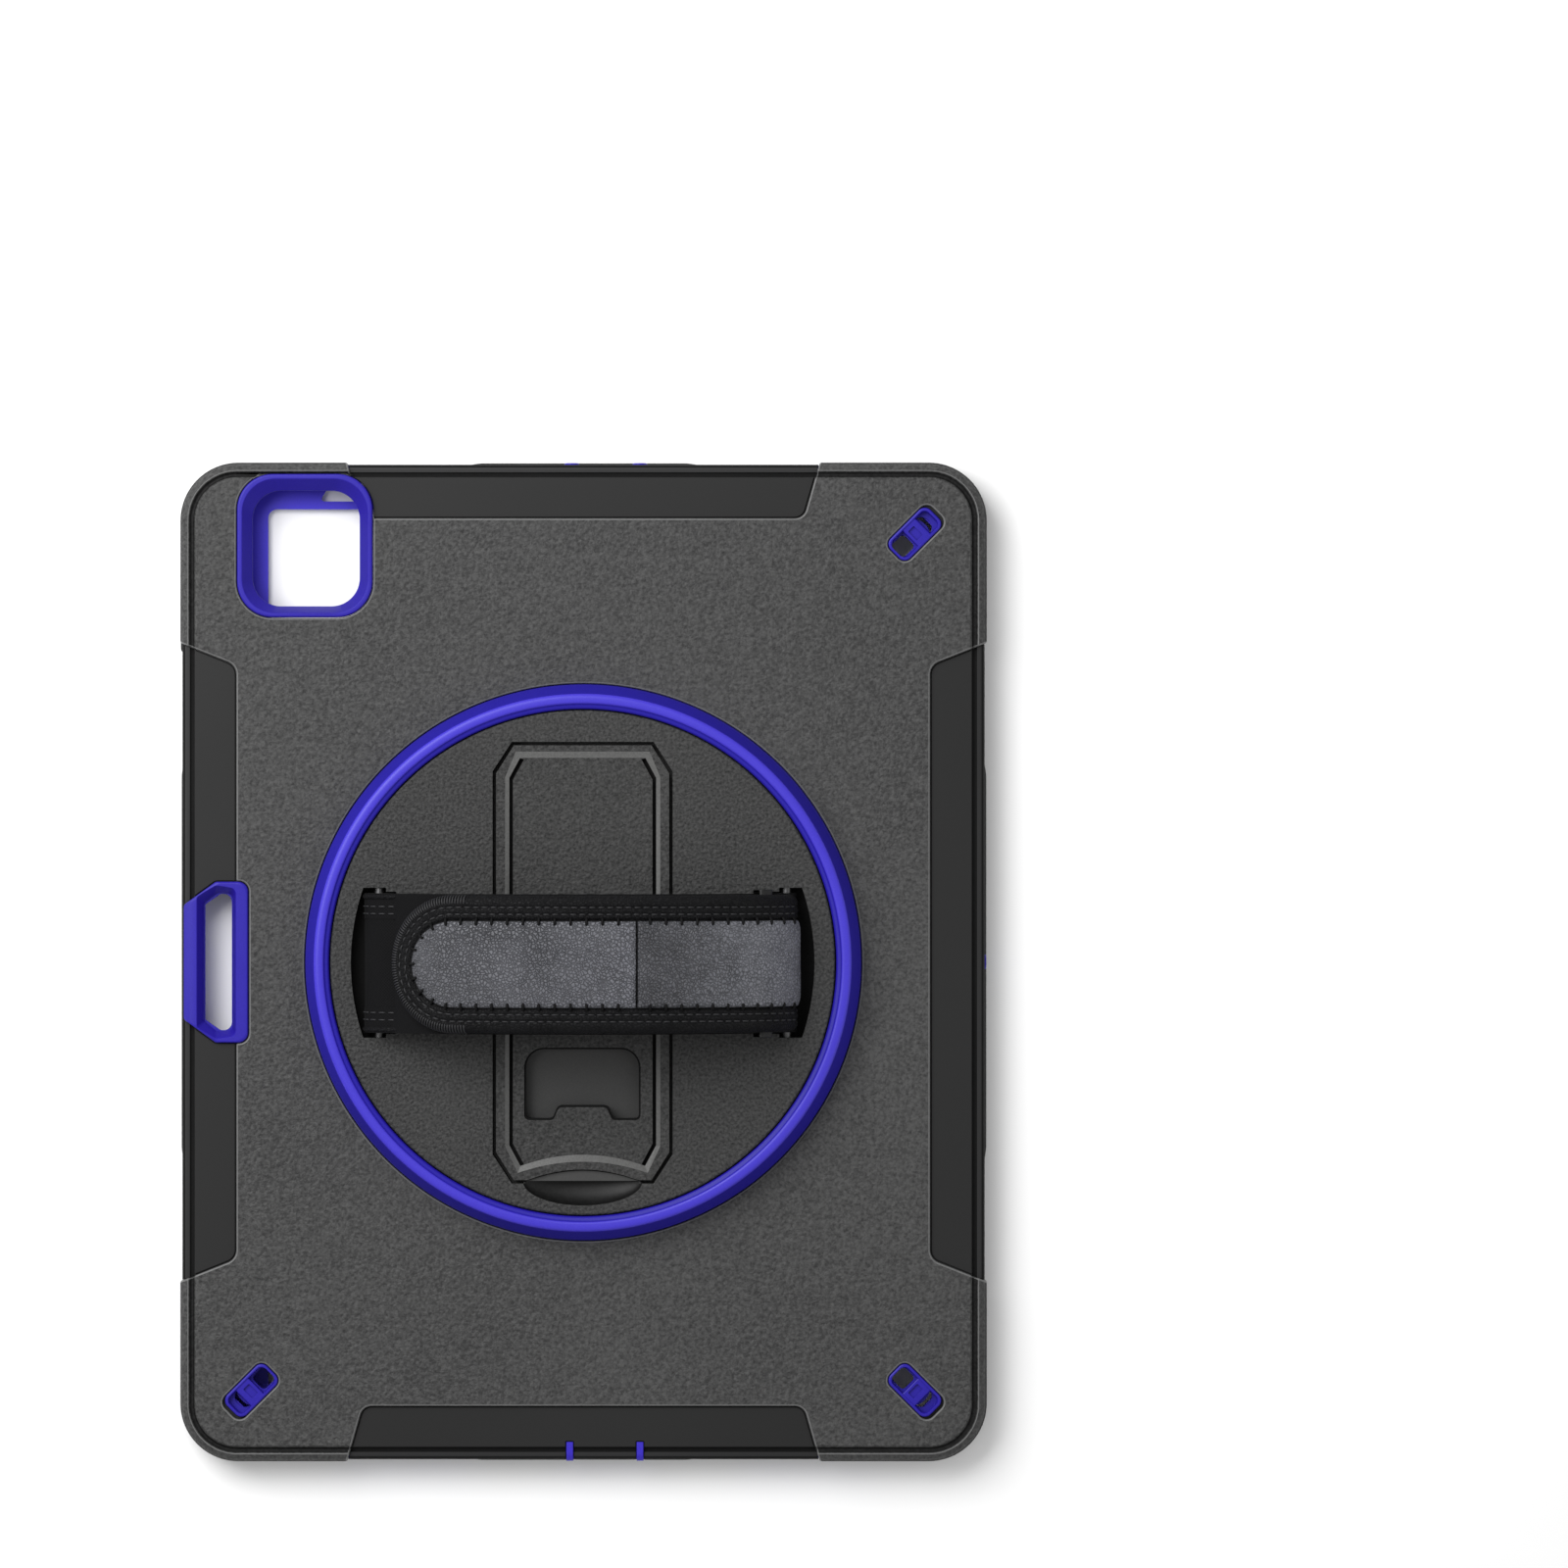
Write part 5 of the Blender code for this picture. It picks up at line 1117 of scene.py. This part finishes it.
def run_round(d, start, turns=44, gap=1.6, count=None):
    """The (s, y) line at distance d inside the pad's outline: down one side, round the end, back up the other."""
    r = PAD_HALF - d
    bend = PAD_LEN - PAD_HALF
    count = count or max(int((bend - start) / gap), 4)
    side = [start + (bend - start) * k / count for k in range(count + 1)]
    points = [(s, -r) for s in side]
    points += [(bend + r * math.sin(math.pi * k / turns), -r * math.cos(math.pi * k / turns)) for k in range(1, turns)]
    return points + [(s, r) for s in reversed(side)]


def puffed(name, rings, mats, ripple=None):
    """A closed padded body through rings of (d, height, start) round the pad's outline, the first and last at its middle line."""
    bm = bmesh.new()
    rows = []
    count = int((PAD_LEN - PAD_HALF - rings[0][2]) / 1.6)
    for d, h, start in rings:
        row = []
        travel, before = 0.0, None
        for s, y in run_round(d, start, count=count):
            if before:
                travel += math.dist(before, (s, y))
            before = (s, y)
            extra = ripple(d, travel, s, y) if ripple else 0.0
            row.append(bm.verts.new(on_pad(s, y, h + extra)))
        rows.append(row)
    for low, high in zip(rows, rows[1:]):
        for i in range(len(low)):
            j = (i + 1) % len(low)
            bm.faces.new((low[i], low[j], high[j], high[i]))
    bmesh.ops.remove_doubles(bm, verts=bm.verts, dist=0.004)
    bmesh.ops.dissolve_degenerate(bm, edges=bm.edges, dist=0.002)
    bmesh.ops.recalc_face_normals(bm, faces=bm.faces[:])
    obj = make(name, bm, *mats)
    obj.data.shade_smooth()
    return obj


EDGE = 7.4  # from the pad's outline to the leather
PITCH = 4.4  # between the blanket stitches


def border_height(d):
    """The border's height over its underside, with its two stitched valleys and the seam beside the leather."""
    side = 0.8 + 2.75 * math.sqrt(max(1 - (1 - min(d, 2.4) / 2.4) ** 2, 0))
    for at, depth, wide in ((3.5, 0.32, 0.42), (5.5, 0.32, 0.42), (EDGE, 0.75, 0.75)):
        side -= depth * math.exp(-(((d - at) / wide) ** 2))
    return side + (0.12 * min(max(d - 2, 0), 3) / 3)


def border_ripple(d, travel, s, y):
    wrinkle = noise.noise(Vector((s * 0.12, y * 0.12, 3.1))) * 0.22 + noise.noise(Vector((s * 0.4, y * 0.4, 9.7))) * 0.07
    return wrinkle * min(d, 3) / 3


steps_d = [0.0, 0.1, 0.35, 0.75, 1.3, 1.9, 2.5, 2.9, 3.2, 3.5, 3.8, 4.15, 4.5, 4.85, 5.2, 5.5, 5.8, 6.2, 6.6, 7.0, EDGE, 7.9, 8.6, 10.5, 14.0, 17.0, PAD_HALF]
pad_rings = [(PAD_HALF, 0.0, 0.0), (12.0, 0.0, 0.0), (4.0, 0.0, 0.0), (1.2, 0.0, 0.0), (0.4, 0.2, 0.0), (0.08, 0.5, 0.0)]
pad_rings += [(d, min(border_height(d), 2.95) if d > EDGE else border_height(d), 0.0) for d in steps_d]
pad = puffed("hand_pad_border", pad_rings, (border_mat,), lambda d, travel, s, y: border_ripple(d, travel, s, y) if d > 0.3 else 0.0)
place(pad, "turntable", "strap_pad")

SEAM_X = 16.4
seam_s = min(range(len(MARKS)), key=lambda k: abs(arch(MARKS[k], LOW_OUT + 4)[0] - SEAM_X))
SEAM_S = RUN[seam_s]


def inlay_ripple(d, travel, s, y):
    """Puckers between the blanket stitches, a lift beside the cross seam and slow waves."""
    near = math.exp(-(((d - EDGE - 0.9) / 1.1) ** 2))
    pucker = 0.13 * near * math.cos(math.tau * travel / PITCH)
    seam = 0.18 * math.exp(-((s - SEAM_S - 2.0) / 1.6) ** 2)
    wave = noise.noise(Vector((s * 0.09, y * 0.11, 5.3))) * 0.28 + noise.noise(Vector((s * 0.33, y * 0.33, 1.7))) * 0.07
    return (wave + seam) * min(max(d - EDGE, 0) / 2.5, 1) - pucker


inlay_rings = [(PAD_HALF, 2.6, SEAM_S + 0.3), (12.0, 2.6, SEAM_S + 0.3), (EDGE + 0.6, 2.6, SEAM_S + 0.3)]
inlay_rings += [
    (EDGE + d, h, SEAM_S + 0.22 + e)
    for d, h, e in (
        (0.05, 2.8, 0.0), (0.0, 3.05, 0.0), (0.06, 3.3, 0.05), (0.28, 3.55, 0.18), (0.6, 3.72, 0.35), (1.0, 3.84, 0.55), (1.5, 3.94, 0.8),
        (2.2, 4.02, 1.1), (3.2, 4.1, 1.5), (4.6, 4.17, 2.0), (6.4, 4.23, 2.6), (8.4, 4.28, 3.2), (10.6, 4.31, 3.8), (12.6, 4.32, 4.4),
    )
]
inlay = puffed("hand_pad_leather_long", inlay_rings, (inlay_painted_shading_mat,), inlay_ripple)
place(inlay, "turntable", slot="pad_leather")

# The short leather piece, from the cross seam into the right slot
half = PAD_HALF - EDGE
across = [(-1.0, 0), (-0.995, 0.35), (-0.975, 0.62), (-0.94, 0.8), (-0.88, 0.9), (-0.8, 0.95), (-0.65, 0.975), (-0.45, 0.99), (-0.22, 1.0), (0, 1.0)]
across += [(-y, h) for y, h in reversed(across[:-1])]
rows, count = [], 64
for k in range(count + 1):
    s = 0.0 + (SEAM_S - 0.22) * k / count
    if k > count - 6:
        s = SEAM_S - 0.22 - (1.6 * ((count - k) / 6) ** 2)
    rest = SEAM_S - 0.22 - s
    shape = math.sqrt(max(1 - (1 - min(rest, 1.0) / 1.0) ** 2, 0.0)) * 0.75 + 0.25
    row = []
    for y, h in across:
        pucker = 0.13 * math.cos(math.tau * s / PITCH) * math.exp(-(((1 - abs(y)) * half - 0.9) / 1.1) ** 2)
        wave = noise.noise(Vector((s * 0.11, y * 1.4, 8.3))) * 0.25 * min((1 - abs(y)) * 5, 1)
        row.append(on_pad(s, y * half, 2.8 + (1.5 * h + wave - pucker * (h > 0)) * shape))
    row += [on_pad(s, y * half, 2.6) for y in (0.99, 0.5, -0.5, -0.99)]
    rows.append(row)
short = make("hand_pad_leather_short", solid(rows), inlay_painted_shading_mat)
short.data.shade_smooth()
short.data.set_sharp_from_angle(angle=math.radians(70))
place(short, "turntable", slot="pad_leather")


# ---------------------------------------------------------------- threads
def tube(bm, points, r, sides=6):
    """A thread through points, closed at both ends."""
    points = [Vector(p) for p in points]
    rows = []
    for i, p in enumerate(points):
        ahead = (points[min(i + 1, len(points) - 1)] - points[max(i - 1, 0)]).normalized()
        side = ahead.cross(Vector((0.13, 0.31, 0.94))).normalized()
        up = ahead.cross(side)
        rows.append([bm.verts.new(p + (side * math.cos(math.tau * k / sides) + up * math.sin(math.tau * k / sides)) * r) for k in range(sides)])
    for low, high in zip(rows, rows[1:]):
        for i in range(sides):
            j = (i + 1) % sides
            bm.faces.new((low[i], low[j], high[j], high[i]))
    bm.faces.new(list(reversed(rows[0])))
    bm.faces.new(rows[-1])


def walk(points):
    """A function from distance along an (s, y) line to a point on it."""
    marks = [0.0]
    for a, b in zip(points, points[1:]):
        marks.append(marks[-1] + math.dist(a, b))

    def at(travel):
        travel = min(max(travel, 0), marks[-1] - 1e-6)
        k = next(i for i in range(len(marks) - 1) if marks[i + 1] >= travel)
        share = (travel - marks[k]) / max(marks[k + 1] - marks[k], 1e-9)
        a, b = points[k], points[k + 1]
        return a[0] + (b[0] - a[0]) * share, a[1] + (b[1] - a[1]) * share

    return at, marks[-1]


def finish_threads(name, bm, body="turntable", mat=None):
    bmesh.ops.recalc_face_normals(bm, faces=bm.faces[:])
    obj = make(name, bm, mat or thread_mat)
    obj.data.shade_smooth()
    place(obj, body, slot="webbing")
    return obj


threads = bmesh.new()
for row, d in enumerate((3.5, 5.5)):
    at, total = walk(run_round(d, 1.0))
    pitch, dash = 2.55, 1.75
    for k in range(int(total / pitch)):
        start = k * pitch + 0.4 + row * 1.1
        points = []
        for j in range(6):
            u = j / 5
            s, y = at(start + dash * u)
            lift = math.sin(math.pi * u) ** 0.5 * 0.42 - 0.22
            points.append(on_pad(s, y, border_height(d) + lift + border_ripple(d, 0, s, y)))
        tube(threads, points, 0.24)
finish_threads("pad_border_stitches", threads)

# Blanket stitches over the leather's edge: a short thread across it, and one along it to the next
edge, edge_total = walk(run_round(EDGE, 1.0))
number = int(edge_total / PITCH)


def inward(s, y):
    """The direction from a point on the leather's edge towards the leather's middle."""
    if s <= PAD_LEN - PAD_HALF:
        return 0.0, -math.copysign(1, y)
    reach = math.hypot(s - (PAD_LEN - PAD_HALF), y)
    return -(s - (PAD_LEN - PAD_HALF)) / reach, -y / reach


threads = bmesh.new()
for k in range(number):
    u = (k + 0.5) / number
    se, ye = edge(edge_total * u)
    if abs(se - SEAM_S) < 0.9:
        continue
    ds, dy = inward(se, ye)
    line = [(-1.1, 2.9), (-0.7, 3.4), (-0.2, 3.85), (0.25, 4.05), (0.7, 4.08), (1.0, 3.9), (1.15, 3.5)]
    tube(threads, [on_pad(se + ds * out, ye + dy * out, h) for out, h in line], 0.42)
    points = []
    for j in range(7):
        s, y = edge(edge_total * (u + (j / 6) / number))
        points.append(on_pad(s, y, 3.18 + 0.12 * math.sin(math.pi * j / 6)))
    tube(threads, points, 0.2)
# The cross seam's own stitches, down in the gap between the two leathers
for k in range(9):
    y = -11.0 + 22.0 * (k + 0.15) / 9
    tube(threads, [on_pad(SEAM_S, y + 1.7 * j / 4, 3.35 + 0.16 * math.sin(math.pi * j / 4)) for j in range(5)], 0.18)
finish_threads("leather_edge_stitches", threads, mat=dark_thread_mat)

# Whipped edge: close threads over the border's outer edge, round the free end
threads = bmesh.new()
bend = PAD_LEN - PAD_HALF
count = 84
for k in range(count):
    a = -math.pi * 0.56 + math.pi * 1.12 * (k + 0.5) / count
    points = []
    for d, h in ((0.02, 1.0), (0.12, 1.9), (0.42, 2.6), (0.95, 3.15), (1.6, 3.45), (2.2, 3.5), (2.5, 3.3)):
        r = PAD_HALF - d
        s, y = bend + r * math.cos(a), r * math.sin(a)
        if s < bend:
            s, y = bend - (abs(a) - math.pi / 2) * PAD_HALF, math.copysign(r, a)
        points.append(on_pad(s, y, h + 0.06))
    tube(threads, points, 0.25, 5)
finish_threads("pad_edge_whipping", threads)

# ---------------------------------------------------------------- band
ARCH_STEPS = 72
top_side = [arch(math.pi * k / ARCH_STEPS, BAND_T / 2) for k in range(ARCH_STEPS + 1)]
low_side = [arch(math.pi * k / ARCH_STEPS, -BAND_T / 2) for k in reversed(range(ARCH_STEPS + 1))]
band = make("strap_band_body", prism(top_side + low_side, -BAND_HALF, BAND_HALF, "Y"), band_mat)
LOOP_T = [2.735 + (math.pi - 2.735) * k / 24 for k in range(25)]


def doubled_out(t):
    share = min(max((t - 2.735) / (math.pi - 2.735), 0), 1)
    return 0.4 + 4.9 * math.sin(share * math.pi / 2) ** 1.2


under = [(-63.85, 18.4), (-63.7, 17.6), (-63.4, 16.9), (-62.9, 16.2), (-62.2, 15.75), (-61.2, 15.5), (-59.5, 15.45), (-57.0, 16.5), (-56.0, 22.0)]
join(band, prism([arch(t, doubled_out(t)) for t in LOOP_T] + under, -BAND_HALF, BAND_HALF, "Y"))
for sign in (1, -1):
    join(band, drum(sign * PIN_X, PIN_Z, 3.0, -BAND_HALF, BAND_HALF, 48, "Y"))
    cut(band, drum(sign * PIN_X, PIN_Z, PIN_R + 0.3, -30, 30, 40, "Y"))
# A shallow channel down the middle, between the sewn edges
channel = [(t, doubled_out(t)) for t in LOOP_T]
groove_low = [arch(t, out - 0.22) for t, out in channel]
groove_high = [arch(t, out + 3) for t, out in reversed(channel)]
cut(band, prism(groove_low + groove_high, -12.9, 12.9, "Y"))
soften(band, 0.35, 3, 42)
place(band, "turntable", "strap_band")

threads = bmesh.new()
for y in (-16.5, -14.4, 14.4, 16.5):
    t = 2.75
    while t < math.pi - 0.03:
        points = []
        for j in range(6):
            u = j / 5
            tt = t + 0.060 * u
            x, z = arch(tt, doubled_out(tt) + math.sin(math.pi * u) ** 0.5 * 0.4 - 0.22)
            points.append((x, y, z))
        tube(threads, points, 0.24)
        t += 0.088
finish_threads("band_end_stitches", threads)

# The folded edge that runs along each side of the band's left end
piping = bmesh.new()
for side in (-1, 1):
    points = [(arch(t, doubled_out(t) - 0.2)[0], side * 19.3, arch(t, doubled_out(t) - 0.2)[1]) for t in LOOP_T]
    tube(piping, points, 0.75, 10)
bmesh.ops.recalc_face_normals(piping, faces=piping.faces[:])
fold = make("band_end_binding", piping, border_mat)
fold.data.shade_smooth()
place(fold, "turntable", slot="webbing")

# ---------------------------------------------------------------- keeper
keeper_t = math.acos(KEEPER_X / ARCH_A)
cx, cz = arch(keeper_t, 0)
nx, nz = arch(keeper_t, 1)
normal = Vector((nx - cx, nz - cz))
along = Vector((-normal.y, normal.x))


def keeper_block(half_long, low, high, half_y, r=0.0):
    corners = rounded([(a, n, r, 6) for a, n in ((-half_long, low), (half_long, low), (half_long, high), (-half_long, high))])
    return prism([(cx + along.x * a + normal.x * n, cz + along.y * a + normal.y * n) for a, n in corners], -half_y, half_y, "Y")


keeper = make("strap_keeper_body", keeper_block(2.4, -2.3, 2.3, 21.5, 1.2), keeper_mat)
cut(keeper, keeper_block(5, -BAND_T / 2 - 0.45, BAND_T / 2 + 0.45, BAND_HALF + 0.3))
soften(keeper, 0.35, 3, 40)
place(keeper, "turntable", "strap_keeper")

# ================================================================ floor, light and camera
scene = bpy.context.scene
floor_mat, tree, shader = nodes_of("floor_white")
shader.inputs["Base Color"].default_value = (0.86, 0.86, 0.86, 1)
shader.inputs["Roughness"].default_value = 0.9
shader.inputs["Specular IOR Level"].default_value = 0.1
bm = bmesh.new()
bmesh.ops.create_grid(bm, x_segments=2, y_segments=2, size=6000)
floor = make("floor", bm, floor_mat)
floor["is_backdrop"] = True

world = bpy.data.worlds.new("studio") if scene.world is None else scene.world
scene.world = world
world.use_nodes = True
back = world.node_tree.nodes["Background"]
back.inputs["Color"].default_value = (1.0, 1.0, 1.0, 1)
back.inputs["Strength"].default_value = 0.60


def area(name, where, target, size, energy):
    data = bpy.data.lights.new(name, "AREA")
    data.shape, data.size, data.size_y, data.energy = "RECTANGLE", size[0], size[1], energy
    lamp = bpy.data.objects.new(name, data)
    lamp.location = where
    lamp.rotation_euler = (Vector(target) - Vector(where)).to_track_quat("-Z", "Y").to_euler()
    scene.collection.objects.link(lamp)
    return lamp


area("key", (-0.48, 0.46, 0.76), (0.0, 0.0, 0.0), (0.8, 0.8), 13.4)
area("fill", (1.45, -0.45, 1.3), (0.0, 0.0, 0.0), (1.6, 1.6), 4.5)

lens = bpy.data.cameras.new("camera")
lens.lens, lens.sensor_width = 200, 36
lens.clip_start, lens.clip_end = 0.05, 50
camera_object = bpy.data.objects.new("camera", lens)
camera_object.location = (0.0588, 0.0522, 2.565)
camera_object.rotation_euler = (0, 0, 0)
scene.collection.objects.link(camera_object)
scene.camera = camera_object
scene.view_settings.view_transform = "Standard"
scene.view_settings.look = "None"

low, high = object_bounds()
